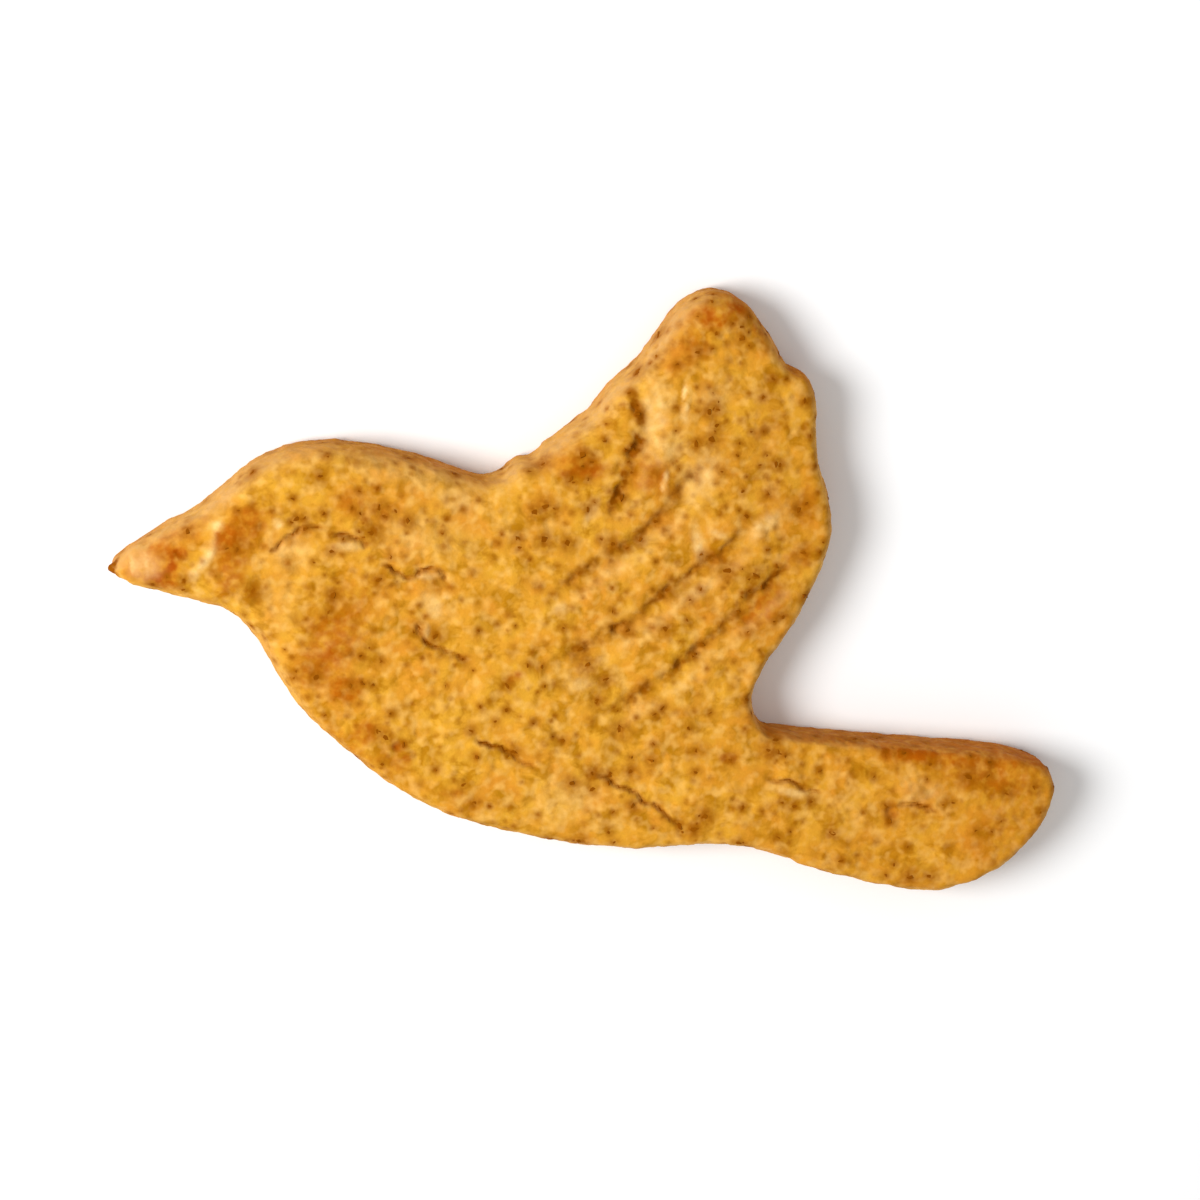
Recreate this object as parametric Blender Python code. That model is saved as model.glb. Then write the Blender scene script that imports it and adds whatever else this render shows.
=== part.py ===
"""Earl grey shortbread cookie, cut in the outline of a songbird in flight.

It is one baked piece and lies flat, shown side up. +X runs from the beak to the tail, +Y
towards the raised wing and +Z up, and the origin is on the flat underside, below the middle
of the plan. Lengths here are millimetres, and MM turns them to metres as the mesh is made.
"""
import math

import bmesh
import bpy
import numpy as np
from mathutils import Vector, geometry, noise

MM = 0.001

# Driving sizes
LENGTH = 100.0          # beak tip to tail end
THICKNESS = 8.0         # underside to the highest spot of the top

# Side and top edge, as the dough swelled and slumped in the oven
WAIST_HEIGHT = 2.2      # where the side stands out furthest
FOOT_INSET = 0.9        # how far the flat underside stays behind the waist
EDGE_ROUND = 1.5        # how far in from the side the rounded top edge reaches
EDGE_SLUMP = 2.1        # how much further it reaches where the dough slumped
SLUMP_SIDE = (-0.6, 0.8)    # direction from the middle to that side, the head and wing's front
SLUMP_START = 2.0       # distance that way where the slump starts, and where it is full
SLUMP_FULL = 18.0
ROUND_POWER = 3.2       # 2 is a true ellipse, more is squarer
CROWN_RISE = 0.09       # share of the thickness that the top gains from edge to middle
CROWN_REACH = 5.0       # distance from the side over which most of it is gained
BEAK_THINNING = 0.3     # share of the thickness that the beak has lost at its tip
BEAK_REACH = 12.0       # length over which it thins
FOOT_RISES = (0.06, 0.3, 0.64)
EDGE_RISES = (0.3, 0.54, 0.72, 0.84, 0.92)
EDGE_ROWS = (0.62, 0.95)    # loose rows that carry on the rounded edge, as shares of its reach
NARROWING = 3.0         # how strongly the rounding draws together at the beak's sharp tip

# Spacing of the mesh points
OUTLINE_STEP = 1.5
TURN_WEIGHT = 2.4       # how much closer the outline points stand on tight bends
GRID_STEP = 1.32
LINE_STEP = 1.0
LINE_CLEAR = 0.75       # grid points keep this far from the rows along scores and cracks
UNDERSIDE_STEP = 5.0

# Unevenness of the rolled dough and its crumb: wavelength and height
SWELLS = ((17.0, 0.30), (7.0, 0.16), (3.6, 0.10))

# Outline of the cutter, clockwise seen from above. All plan places below are drawn about its
# middle for a length of 100, and LENGTH sets the size that the cookie comes out at.
BEAK_TOP = [(-50.0, 3.6), (-48.5, 5.2), (-45.3, 7.2), (-40.2, 10.2)]
CROWN = [(-35.8, 13.9), (-32.3, 15.7), (-26.6, 16.5), (-18.7, 15.1)]
NAPE = [(-13.0, 13.2), (-11.0, 12.8), (-9.3, 13.3), (-7.7, 14.5), (-6.0, 14.9), (-4.5, 16.3)]
WING_FRONT = [(-0.2, 19.6), (1.6, 21.9), (5.3, 25.4), (7.6, 28.7)]
WING_TIP = [(9.8, 31.1), (12.6, 32.1), (15.6, 30.9), (18.0, 28.0)]
WING_BACK = [(20.2, 24.4), (22.0, 23.4), (23.0, 21.6), (23.5, 15.1), (25.2, 7.4)]
WING_ROOT = [(23.9, 2.4), (21.4, -2.8), (18.1, -7.8), (17.1, -11.1), (18.5, -14.0)]
TAIL_TOP = [(20.9, -14.6), (33.3, -16.0), (43.7, -17.0), (48.2, -18.3)]
TAIL_END = [(49.6, -19.9), (50.0, -21.8), (48.3, -25.6), (44.0, -29.8), (38.4, -32.0)]
TAIL_UNDER = [(33.4, -31.8), (24.0, -29.4), (16.1, -26.7)]
BELLY = [(4.6, -26.8), (-3.9, -25.7), (-13.7, -23.1), (-20.8, -19.4), (-27.0, -14.3)]
BREAST = [(-30.3, -11.1), (-32.2, -8.2), (-35.2, -3.2), (-38.2, -0.6)]
CHIN = [(-43.8, 1.0), (-49.2, 2.7)]
OUTLINE = (BEAK_TOP + CROWN + NAPE + WING_FRONT + WING_TIP + WING_BACK + WING_ROOT
           + TAIL_TOP + TAIL_END + TAIL_UNDER + BELLY + BREAST + CHIN)

# Feathers scored in the wing before baking, each from the wing's edge to the shoulder
WING_SCORES = (
    [(4.1, 23.2), (3.8, 21.3), (4.5, 19.3), (4.4, 17.0), (3.2, 14.3), (2.7, 11.8), (0.3, 9.1)],
    [(12.7, 15.2), (9.2, 12.1), (6.3, 8.8), (3.8, 6.5), (-1.1, 3.3), (-5.2, 0.5)],
    [(16.6, 9.0), (14.3, 6.3), (10.6, 3.4), (6.5, 0.1), (2.1, -3.0), (-2.4, -5.5), (-5.9, -7.4)],
    [(23.7, 4.8), (20.8, 3.3), (18.0, 1.5), (15.3, -1.2), (11.0, -5.1), (6.6, -8.5), (-0.3, -12.5)],
)
SCORE_DEPTH = 0.34
SCORE_STEEP = 1.3       # reach of the upper wall, which faces the tail
SCORE_GENTLE = 2.7      # reach of the lower wall, which faces the head
SCORE_RIDGE = 0.12      # dough pushed up beyond the lower wall
SCORE_FADE = 0.18       # share of the length over which each end runs out

# Cracks that opened in the oven, each from left to right
EYE_CRACK = [(-33.6, 5.5), (-32.8, 6.6), (-31.3, 7.7), (-29.5, 8.4), (-27.4, 8.3)]
BROW_CRACK = [(-27.4, 7.3), (-26.0, 7.5), (-24.5, 7.1), (-23.5, 6.1)]
CHEEK_CRACK = [(-22.9, 4.1), (-22.1, 4.5), (-20.8, 3.6), (-19.3, 3.0), (-17.8, 3.8), (-16.3, 3.9),
               (-15.4, 2.0)]
BREAST_CRACK = [(-18.7, -1.4), (-17.8, -3.6), (-15.4, -4.8), (-12.7, -6.0)]
BELLY_CRACK = [(-12.9, -13.5), (-11.9, -14.6), (-10.0, -15.0), (-8.6, -15.7), (-7.6, -16.6),
               (-5.2, -17.7)]
RUMP_CRACK = [(-0.6, -18.3), (1.4, -18.5), (2.6, -19.6), (4.4, -20.2), (5.6, -21.4), (6.8, -21.8),
              (8.6, -23.4), (10.3, -24.0)]
TAIL_CRACK = [(18.2, -19.2), (20.6, -19.4), (22.6, -20.2), (24.6, -20.8)]
TAIL_PIT_CRACK = [(32.1, -22.3), (34.7, -22.2), (37.1, -23.1)]
CRACKS = (EYE_CRACK, BROW_CRACK, CHEEK_CRACK, BREAST_CRACK, BELLY_CRACK, RUMP_CRACK, TAIL_CRACK,
          TAIL_PIT_CRACK)
CRACK_DEPTH = 0.4
CRACK_HALF_WIDTH = 0.34
CRACK_LIP = 0.12        # height of the flake lifted along the lower side
CRACK_LIP_REACH = 1.2
CRACK_FADE = 0.18

# Pits where crumb broke out: place, radius and depth
PITS = (
    (31.9, -23.1, 0.8, 0.5), (-20.5, -14.9, 0.7, 0.4), (4.1, 16.6, 0.6, 0.4),
    (3.5, 15.6, 0.6, 0.4), (2.5, 11.9, 0.7, 0.35), (19.0, -19.0, 0.7, 0.3),
    (-42.9, 5.7, 0.6, 0.3), (16.5, 0.7, 0.9, 0.4), (10.8, -4.9, 0.7, 0.3), (2.1, -2.7, 0.7, 0.3),
)
# Flakes that stand up from the crust: place, length, width, heading in degrees and height
FLAKES = (
    (-21.9, 2.8, 2.4, 1.5, 10.0, 0.22), (-17.8, 2.4, 3.0, 1.9, -15.0, 0.25),
    (-26.1, 6.3, 2.6, 1.4, 5.0, 0.22), (9.3, 21.0, 3.4, 1.0, 90.0, 0.22),
    (17.6, 8.0, 2.8, 1.8, 40.0, 0.22), (-40.2, 5.2, 3.4, 0.8, 52.0, 0.2),
    (34.1, -21.0, 3.0, 1.8, 0.0, 0.2), (20.7, -18.3, 2.6, 1.4, -20.0, 0.18),
    (7.2, 12.8, 2.6, 0.9, 85.0, 0.18), (-17.7, -2.7, 1.4, 0.7, 80.0, 0.18),
)

CRUST_COLOUR = (0.67, 0.30, 0.038, 1.0)
CRUST_ROUGHNESS = 0.72


def clear_scene():
    """Remove whatever the scene starts with."""
    for scene_object in list(bpy.data.objects):
        bpy.data.objects.remove(scene_object, do_unlink=True)


def unit_rows(vectors):
    """Each row scaled to length one."""
    return vectors / np.maximum(np.linalg.norm(vectors, axis=1), 1e-9)[:, None]


def smooth_curve(points, closed, fine_step=0.1):
    """A Bezier curve through the points, as closely spaced positions.

    The handles run parallel to the chord between a point's neighbours and are a third as long
    as the side that they belong to, so the curve doesn't swing out on uneven spacing.
    """
    knots = np.array(points, dtype=float)
    if closed:
        before = np.roll(knots, 1, axis=0)
        after = np.roll(knots, -1, axis=0)
    else:
        before = np.vstack((knots[:1], knots[:-1]))
        after = np.vstack((knots[1:], knots[-1:]))
    directions = unit_rows(after - before)
    sides = len(knots) if closed else len(knots) - 1
    curve = []
    for index in range(sides):
        start = knots[index]
        end = knots[(index + 1) % len(knots)]
        third = np.linalg.norm(end - start) / 3.0
        start_handle = start + directions[index] * third
        end_handle = end - directions[(index + 1) % len(knots)] * third
        count = max(3, math.ceil(3.0 * third / fine_step))
        piece = geometry.interpolate_bezier(Vector(start), Vector(start_handle),
                                            Vector(end_handle), Vector(end), count + 1)
        curve.extend((position.x, position.y) for position in piece[:-1])
    if not closed:
        curve.append(tuple(knots[-1]))
    return np.array(curve)


def resample(curve, step, closed, turn_weight=0.0):
    """Evenly spaced positions on a fine curve, standing closer where it turns."""
    loop = np.vstack((curve, curve[:1])) if closed else curve
    sides = np.diff(loop, axis=0)
    lengths = np.linalg.norm(sides, axis=1)
    headings = np.unwrap(np.arctan2(sides[:, 1], sides[:, 0]))
    turns = np.abs(np.gradient(headings)) / np.maximum(lengths, 1e-9)
    window = np.hanning(41)
    padded = np.pad(turns, 20, mode="wrap" if closed else "edge")
    turns = np.convolve(padded, window / window.sum(), mode="valid")
    weights = lengths * (1.0 + turn_weight * np.minimum(turns, 1.5))
    travelled = np.concatenate(([0.0], np.cumsum(weights)))
    count = max(2, round(travelled[-1] / step))
    marks = np.linspace(0.0, travelled[-1], count + 1)
    if closed:
        marks = marks[:-1]
    return np.column_stack((np.interp(marks, travelled, loop[:, 0]),
                            np.interp(marks, travelled, loop[:, 1])))


def inward_normals(outline):
    """Unit normals of a clockwise closed outline, pointing into it."""
    along = unit_rows(np.roll(outline, -1, axis=0) - np.roll(outline, 1, axis=0))
    return np.column_stack((along[:, 1], -along[:, 0]))


def nearest_on_line(points, line, closed):
    """Distance to a line of points, side of it (positive is its left) and share along it."""
    starts = line if closed else line[:-1]
    ends = np.roll(line, -1, axis=0) if closed else line[1:]
    sides = ends - starts
    lengths = np.linalg.norm(sides, axis=1)
    travelled = np.concatenate(([0.0], np.cumsum(lengths)))
    best = np.full(len(points), np.inf)
    left = np.ones(len(points))
    share = np.zeros(len(points))
    for index, side in enumerate(sides):
        away = points - starts[index]
        along = np.clip(away @ side / max(lengths[index] ** 2, 1e-12), 0.0, 1.0)
        gap = away - along[:, None] * side
        distance = np.hypot(gap[:, 0], gap[:, 1])
        nearer = distance < best
        best[nearer] = distance[nearer]
        cross = side[0] * away[:, 1] - side[1] * away[:, 0]
        left[nearer] = np.where(cross[nearer] >= 0.0, 1.0, -1.0)
        position = (travelled[index] + along * lengths[index]) / travelled[-1]
        share[nearer] = position[nearer]
    return best, left, share


def depth_inside(points, outline):
    """Distance from each point to the outline, negative outside it."""
    distance, left, _ = nearest_on_line(points, outline, closed=True)
    return -distance * left


def fade_ends(share, fade):
    """One along a line's middle, falling smoothly to nothing over the fade at each end."""
    from_end = np.clip(np.minimum(share, 1.0 - share) / fade, 0.0, 1.0)
    return from_end * from_end * (3.0 - 2.0 * from_end)


def swell(points):
    """Slow rise and fall of the rolled dough."""
    heights = np.zeros(len(points))
    for wavelength, height in SWELLS:
        for index, (x, y) in enumerate(points):
            heights[index] += height * noise.noise(Vector((x, y, 3.0)) / wavelength)
    return heights


def score_relief(points, lines):
    """Depth of the scored feathers, with the dough that each stroke pushed up."""
    relief = np.zeros(len(points))
    for line in lines:
        distance, left, share = nearest_on_line(points, line, closed=False)
        width = np.where(left > 0.0, SCORE_GENTLE, SCORE_STEEP)
        climbed = np.clip(distance / width, 0.0, 1.0)
        groove = 1.0 - climbed * climbed * (3.0 - 2.0 * climbed)
        beyond = np.where(left > 0.0, distance - SCORE_GENTLE, 10.0)
        ridge = np.exp(-(beyond / 0.8) ** 2)
        relief += fade_ends(share, SCORE_FADE) * (SCORE_RIDGE * ridge - SCORE_DEPTH * groove)
    return relief


def crack_relief(points, lines):
    """Depth of the cracks, with a flake lifted along the lower side of each."""
    relief = np.zeros(len(points))
    for line in lines:
        distance, left, share = nearest_on_line(points, line, closed=False)
        gap = np.clip(1.0 - distance / CRACK_HALF_WIDTH, 0.0, 1.0)
        lip = np.where(left < 0.0, np.exp(-distance / CRACK_LIP_REACH), 0.0)
        relief += fade_ends(share, CRACK_FADE) * (CRACK_LIP * lip - (CRACK_DEPTH + CRACK_LIP) * gap)
    return relief


def spot_relief(points):
    """Height of the broken-out pits and of the standing flakes."""
    relief = np.zeros(len(points))
    for x, y, radius, depth in PITS:
        away = np.linalg.norm(points - (x, y), axis=1) / radius
        relief -= depth * np.clip(1.0 - away ** 2, 0.0, 1.0)
    for x, y, length, width, heading, height in FLAKES:
        turn = math.radians(heading)
        along = (points - (x, y)) @ (math.cos(turn), math.sin(turn))
        across = (points - (x, y)) @ (-math.sin(turn), math.cos(turn))
        away = (2.0 * along / length) ** 2 + (2.0 * across / width) ** 2
        relief += height * np.clip(1.5 - away, 0.0, 1.0)
    return relief


def edge_width(points):
    """How far in the rounded edge reaches at each place."""
    towards = (points @ SLUMP_SIDE - SLUMP_START) / (SLUMP_FULL - SLUMP_START)
    share = np.clip(towards, 0.0, 1.0)
    return EDGE_ROUND + EDGE_SLUMP * share * share * (3.0 - 2.0 * share)


def edge_inset(rise):
    """How far in the rounded edge has come when it has climbed this share of its height."""
    return 1.0 - (1.0 - rise ** ROUND_POWER) ** (1.0 / ROUND_POWER)


def edge_rise(depth, width):
    """Share of its height that the rounded edge has climbed at this distance from the side."""
    left_over = np.clip(1.0 - depth / width, 0.0, 1.0)
    return (1.0 - left_over ** ROUND_POWER) ** (1.0 / ROUND_POWER)


def top_heights(points, depth, scores, cracks):
    """Height of the top over the plan, with the edge rounded down to the waist."""
    level = THICKNESS * (1.0 - CROWN_RISE * np.exp(-depth / CROWN_REACH)) + swell(points)
    from_tip = np.clip((points[:, 0] - BEAK_TOP[0][0]) / BEAK_REACH, 0.0, 1.0)
    level *= 1.0 - BEAK_THINNING * (1.0 - from_tip) ** 2
    settled = np.clip((depth - 0.4) / 1.2, 0.0, 1.0)
    level += settled * (score_relief(points, scores) + crack_relief(points, cracks))
    level += settled * spot_relief(points)
    return WAIST_HEIGHT + (level - WAIST_HEIGHT) * edge_rise(depth, edge_width(points))


def narrow_ends(outline):
    """Share of a full inset that each outline point can move in without crossing others."""
    reach = edge_inset(EDGE_RISES[-1]) * edge_width(outline)
    moved = outline + inward_normals(outline) * reach[:, None]
    depth = depth_inside(moved, outline)
    share = np.clip(depth / reach, 0.0, 1.0) ** NARROWING
    spread = np.concatenate((share[-4:], share, share[:4]))
    window = np.ones(9) / 9.0
    return np.minimum(share, np.convolve(spread, window, mode="valid"))


def rows_beside(line, offsets):
    """Points on rows to the left of a line, one row for each offset."""
    along = unit_rows(np.gradient(line, axis=0))
    left = np.column_stack((-along[:, 1], along[:, 0]))
    return np.vstack([line + left * offset for offset in offsets])


def hexagon_grid(step, low, high):
    """Points of a triangular grid over a box."""
    points = []
    row_step = step * math.sqrt(0.75)
    for row in range(math.ceil((high[1] - low[1]) / row_step) + 1):
        shift = step / 2.0 if row % 2 else 0.0
        for column in range(math.ceil((high[0] - low[0]) / step) + 1):
            points.append((low[0] + column * step + shift, low[1] + row * row_step))
    return np.array(points)


def keep_apart(points, others, clearance):
    """The points that stand clear of all the others."""
    kept = []
    for start in range(0, len(points), 500):
        block = points[start:start + 500]
        gaps = np.linalg.norm(block[:, None, :] - others[None, :, :], axis=2)
        kept.append(block[gaps.min(axis=1) > clearance])
    return np.vstack(kept)


def thin_out(points, clearance):
    """The points in order, leaving out any that crowds one already kept."""
    kept = []
    for point in points:
        if all(math.dist(point, other) > clearance for other in kept):
            kept.append(tuple(point))
    return np.array(kept)


def fill_plan(boundary, inner):
    """Triangles that fill a boundary and use the inner points, as indices into both."""
    flat = [Vector(point) for point in np.vstack((boundary, inner))]
    loop = list(range(len(boundary)))
    result = geometry.delaunay_2d_cdt(flat, [], [loop], 1, 1e-5)
    faces, originals = result[2], result[3]
    return [[originals[corner][0] for corner in face] for face in faces]


def top_inner_points(outline, rim, scores, cracks):
    """Points inside the rim: rows along the scores, cracks and edge, and a grid between."""
    across = (-SCORE_STEEP, -SCORE_STEEP / 2.0, 0.0, SCORE_GENTLE / 3.0, SCORE_GENTLE / 1.5,
              SCORE_GENTLE)
    rows = [rows_beside(line, across) for line in scores]
    rows += [rows_beside(line, (-CRACK_HALF_WIDTH, 0.0, CRACK_HALF_WIDTH)) for line in cracks]
    drawn = thin_out(np.vstack(rows), 0.28)
    wanted = np.concatenate([edge_width(outline) * share for share in EDGE_ROWS])
    inwards = np.tile(inward_normals(outline), (len(EDGE_ROWS), 1))
    edge = np.tile(outline, (len(EDGE_ROWS), 1)) + inwards * wanted[:, None]
    edge = edge[depth_inside(edge, outline) > wanted - 0.03]
    edge = keep_apart(thin_out(edge, 0.6), drawn, LINE_CLEAR)
    grid = hexagon_grid(GRID_STEP, outline.min(axis=0), outline.max(axis=0))
    edge_end = EDGE_ROWS[-1] * edge_width(grid) + 0.35 * GRID_STEP
    grid = grid[depth_inside(grid, outline) > edge_end]
    grid = keep_apart(grid, np.vstack((drawn, edge)), LINE_CLEAR)
    inner = np.vstack((drawn, edge, grid))
    inner = inner[depth_inside(inner, rim) > 0.3]
    return inner


def fit_to_size(vertices):
    """The drawn cookie brought to its driving length and thickness, about its middle."""
    low, high = vertices.min(axis=0), vertices.max(axis=0)
    fitted = vertices.copy()
    fitted[:, :2] -= (low[:2] + high[:2]) / 2.0
    fitted[:, :2] *= LENGTH / (high[0] - low[0])
    stretch = (THICKNESS - WAIST_HEIGHT) / (high[2] - WAIST_HEIGHT)
    above_waist = fitted[:, 2] > WAIST_HEIGHT
    fitted[above_waist, 2] = WAIST_HEIGHT + (fitted[above_waist, 2] - WAIST_HEIGHT) * stretch
    return fitted


def cookie_mesh():
    """Vertices in metres and faces of the whole cookie."""
    outline = resample(smooth_curve(OUTLINE, closed=True), OUTLINE_STEP, True, TURN_WEIGHT)
    scores = [resample(smooth_curve(line, False), LINE_STEP, False) for line in WING_SCORES]
    cracks = [resample(smooth_curve(line, False), LINE_STEP, False) for line in CRACKS]
    inwards = inward_normals(outline)
    room = narrow_ends(outline)[:, None]
    count = len(outline)

    rings = []
    for rise in (0.0,) + FOOT_RISES:
        inset = FOOT_INSET * edge_inset(1.0 - rise)
        level = np.full(count, WAIST_HEIGHT * rise)
        rings.append(np.column_stack((outline + inwards * room * inset, level)))
    rings.append(np.column_stack((outline, np.full(count, WAIST_HEIGHT))))
    for rise in EDGE_RISES:
        inset = room * edge_width(outline)[:, None] * edge_inset(rise)
        plan = outline + inwards * inset
        level = top_heights(plan, inset[:, 0], scores, cracks)
        rings.append(np.column_stack((plan, level)))

    foot = rings[0][:, :2]
    rim = rings[-1][:, :2]
    inner = top_inner_points(outline, rim, scores, cracks)
    inner_level = top_heights(inner, depth_inside(inner, outline), scores, cracks)
    under = hexagon_grid(UNDERSIDE_STEP, outline.min(axis=0), outline.max(axis=0))
    under = under[depth_inside(under, foot) > 0.4 * UNDERSIDE_STEP]

    vertices = np.vstack(rings + [np.column_stack((inner, inner_level)),
                                  np.column_stack((under, np.zeros(len(under))))])
    vertices = fit_to_size(vertices)

    faces = []
    for ring in range(len(rings) - 1):
        for index in range(count):
            after = (index + 1) % count
            low = ring * count
            high = low + count
            faces.append((low + index, low + after, high + after, high + index))
    top_start = (len(rings) - 1) * count
    inner_start = len(rings) * count
    under_start = inner_start + len(inner)
    for face in fill_plan(rim, inner):
        faces.append(tuple(top_start + i if i < count else inner_start + i - count for i in face))
    for face in fill_plan(foot, under):
        faces.append(tuple(i if i < count else under_start + i - count for i in face))
    return vertices * MM, faces


def crust_material():
    """Baked shortbread: a dry golden crust."""
    material = bpy.data.materials.new("golden_shortbread")
    material.use_nodes = True
    shader = material.node_tree.nodes["Principled BSDF"]
    shader.inputs["Base Color"].default_value = CRUST_COLOUR
    shader.inputs["Roughness"].default_value = CRUST_ROUGHNESS
    shader.inputs["Metallic"].default_value = 0.0
    return material


def make_cookie():
    """The cookie as one closed solid."""
    vertices, faces = cookie_mesh()
    mesh = bpy.data.meshes.new("cookie")
    mesh.from_pydata(vertices.tolist(), [], faces)
    working = bmesh.new()
    working.from_mesh(mesh)
    bmesh.ops.recalc_face_normals(working, faces=working.faces)
    working.to_mesh(mesh)
    working.free()
    mesh.shade_smooth()
    mesh.set_sharp_from_angle(angle=math.radians(50.0))
    mesh.materials.append(crust_material())
    cookie = bpy.data.objects.new("cookie", mesh)
    bpy.context.scene.collection.objects.link(cookie)
    return cookie


def main():
    clear_scene()
    make_cookie()


if __name__ == "__main__":
    main()
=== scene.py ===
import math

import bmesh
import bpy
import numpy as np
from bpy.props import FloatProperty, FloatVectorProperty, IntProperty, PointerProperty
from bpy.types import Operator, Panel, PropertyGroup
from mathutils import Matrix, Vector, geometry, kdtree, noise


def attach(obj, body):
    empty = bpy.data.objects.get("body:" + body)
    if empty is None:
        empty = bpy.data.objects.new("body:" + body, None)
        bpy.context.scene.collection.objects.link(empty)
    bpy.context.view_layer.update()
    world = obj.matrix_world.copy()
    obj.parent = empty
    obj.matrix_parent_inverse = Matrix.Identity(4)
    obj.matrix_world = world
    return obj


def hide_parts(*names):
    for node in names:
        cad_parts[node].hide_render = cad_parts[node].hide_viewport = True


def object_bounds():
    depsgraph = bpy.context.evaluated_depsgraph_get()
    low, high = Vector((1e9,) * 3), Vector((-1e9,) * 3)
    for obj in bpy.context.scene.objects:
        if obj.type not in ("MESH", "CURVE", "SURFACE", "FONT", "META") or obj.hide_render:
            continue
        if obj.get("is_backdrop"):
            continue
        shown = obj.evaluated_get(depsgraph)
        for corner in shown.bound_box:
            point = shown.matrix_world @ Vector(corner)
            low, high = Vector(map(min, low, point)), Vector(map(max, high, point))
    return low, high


bl_info = {
    "name": "Tea Shortbread Cookie",
    "version": (1, 0, 0),
    "blender": (4, 5, 0),
    "location": "View3D > Sidebar > Cookie",
    "description": "Builds a baked bird-shaped shortbread cookie with tea flecks on a pale table",
    "category": "Add Mesh",
}

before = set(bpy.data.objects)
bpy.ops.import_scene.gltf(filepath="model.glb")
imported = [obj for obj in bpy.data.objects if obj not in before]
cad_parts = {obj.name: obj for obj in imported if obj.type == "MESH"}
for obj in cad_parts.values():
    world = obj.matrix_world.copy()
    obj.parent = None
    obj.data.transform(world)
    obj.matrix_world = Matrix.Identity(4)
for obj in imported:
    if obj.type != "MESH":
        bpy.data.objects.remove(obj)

COOKIE_NODE = "cookie"
MM = 0.001

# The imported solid's box, which the crust fills
CAD_LOW, CAD_HIGH = (np.array(corner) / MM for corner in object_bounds())
LENGTH, WIDTH, THICKNESS = CAD_HIGH - CAD_LOW

# Side and rounded edge, in millimetres, as the dough swelled and slumped in the oven
WAIST_HEIGHT = 2.2
FOOT_INSET = 0.9
EDGE_ROUND = 1.5
EDGE_SLUMP = 2.1        # how much further the rounding reaches where the dough slumped
SLUMP_SIDE = (-0.6, 0.8)    # direction from the middle to that side, the head and wing's front
SLUMP_START = 2.0       # distance that way where the slump starts, and where it is full
SLUMP_FULL = 18.0
ROUND_POWER = 3.2       # 2 is a true ellipse, more is squarer
RIM_SHARE = 0.5         # share of the rounding where the side's ordered rows of points end
CROWN_RISE = 0.09       # share of the thickness that the top gains from edge to middle
CROWN_REACH = 5.0
BEAK_THINNING = 0.3     # share that the beak's tip is thinner, and how far back that goes
BEAK_REACH = 12.0
RELIEF_START = 0.4      # distance from the side where scores, cracks and pits start
RELIEF_FULL = 1.6       # and where they have their full depth
# Waves of the rolled dough: length and height
SWELLS = ((17.0, 0.30), (7.0, 0.16), (3.6, 0.10))
# Levels at which the patterns read the noise, so that none repeats another
SWELL_LEVEL = 3.0
WANDER_LEVEL = 9.0
WAVER_LEVEL = 20.0
LINE_REACH = 4.0        # how far from a score or crack anything changes

# Outline of the cutter, clockwise seen from above, with all plan places drawn to its scale
BEAK_TOP = [(-50.0, 3.6), (-48.5, 5.2), (-45.3, 7.2), (-40.2, 10.2)]
CROWN = [(-35.8, 13.9), (-32.3, 15.7), (-26.6, 16.5), (-18.7, 15.1)]
NAPE = [(-13.0, 13.2), (-11.0, 12.8), (-9.3, 13.3), (-7.7, 14.5), (-6.0, 14.9), (-4.5, 16.3)]
WING_FRONT = [(-0.2, 19.6), (1.6, 21.9), (5.3, 25.4), (7.6, 28.7)]
WING_TIP = [(9.8, 31.1), (12.6, 32.1), (15.6, 30.9), (18.0, 28.0)]
WING_BACK = [(20.2, 24.4), (22.0, 23.4), (23.0, 21.6), (23.5, 15.1), (25.2, 7.4)]
WING_ROOT = [(23.9, 2.4), (21.4, -2.8), (18.1, -7.8), (17.1, -11.1), (18.5, -14.0)]
TAIL_TOP = [(20.9, -14.6), (33.3, -16.0), (43.7, -17.0), (48.2, -18.3)]
TAIL_END = [(49.6, -19.9), (50.0, -21.8), (48.3, -25.6), (44.0, -29.8), (38.4, -32.0)]
TAIL_UNDER = [(33.4, -31.8), (24.0, -29.4), (16.1, -26.7)]
BELLY = [(4.6, -26.8), (-3.9, -25.7), (-13.7, -23.1), (-20.8, -19.4), (-27.0, -14.3)]
BREAST = [(-30.3, -11.1), (-32.2, -8.2), (-35.2, -3.2), (-38.2, -0.6)]
CHIN = [(-43.8, 1.0), (-49.2, 2.7)]
OUTLINE = (BEAK_TOP + CROWN + NAPE + WING_FRONT + WING_TIP + WING_BACK + WING_ROOT
           + TAIL_TOP + TAIL_END + TAIL_UNDER + BELLY + BREAST + CHIN)

# Feathers scored in the wing before baking, from its edge down to the shoulder
WING_SCORES = (
    [(4.1, 23.2), (3.8, 21.3), (4.5, 19.3), (4.4, 17.0), (3.2, 14.3), (2.7, 11.8), (0.3, 9.1)],
    [(12.7, 15.2), (9.2, 12.1), (6.3, 8.8), (3.8, 6.5), (-1.1, 3.3), (-5.2, 0.5)],
    [(16.6, 9.0), (14.3, 6.3), (10.6, 3.4), (6.5, 0.1), (2.1, -3.0), (-2.4, -5.5), (-5.9, -7.4)],
    [(23.7, 4.8), (20.8, 3.3), (18.0, 1.5), (15.3, -1.2), (11.0, -5.1), (6.6, -8.5), (-0.3, -12.5)],
)
SCORE_DEPTH = 0.34
SCORE_STEEP = 1.3       # reach of the upper wall, which faces the tail
SCORE_GENTLE = 2.7      # reach of the lower wall, which faces the head
SCORE_RIDGE = 0.12      # height and width of the ridge beyond the lower wall
SCORE_RIDGE_WIDTH = 0.8
SCORE_FADE = 0.18       # share of a score's length over which each end runs out
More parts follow.
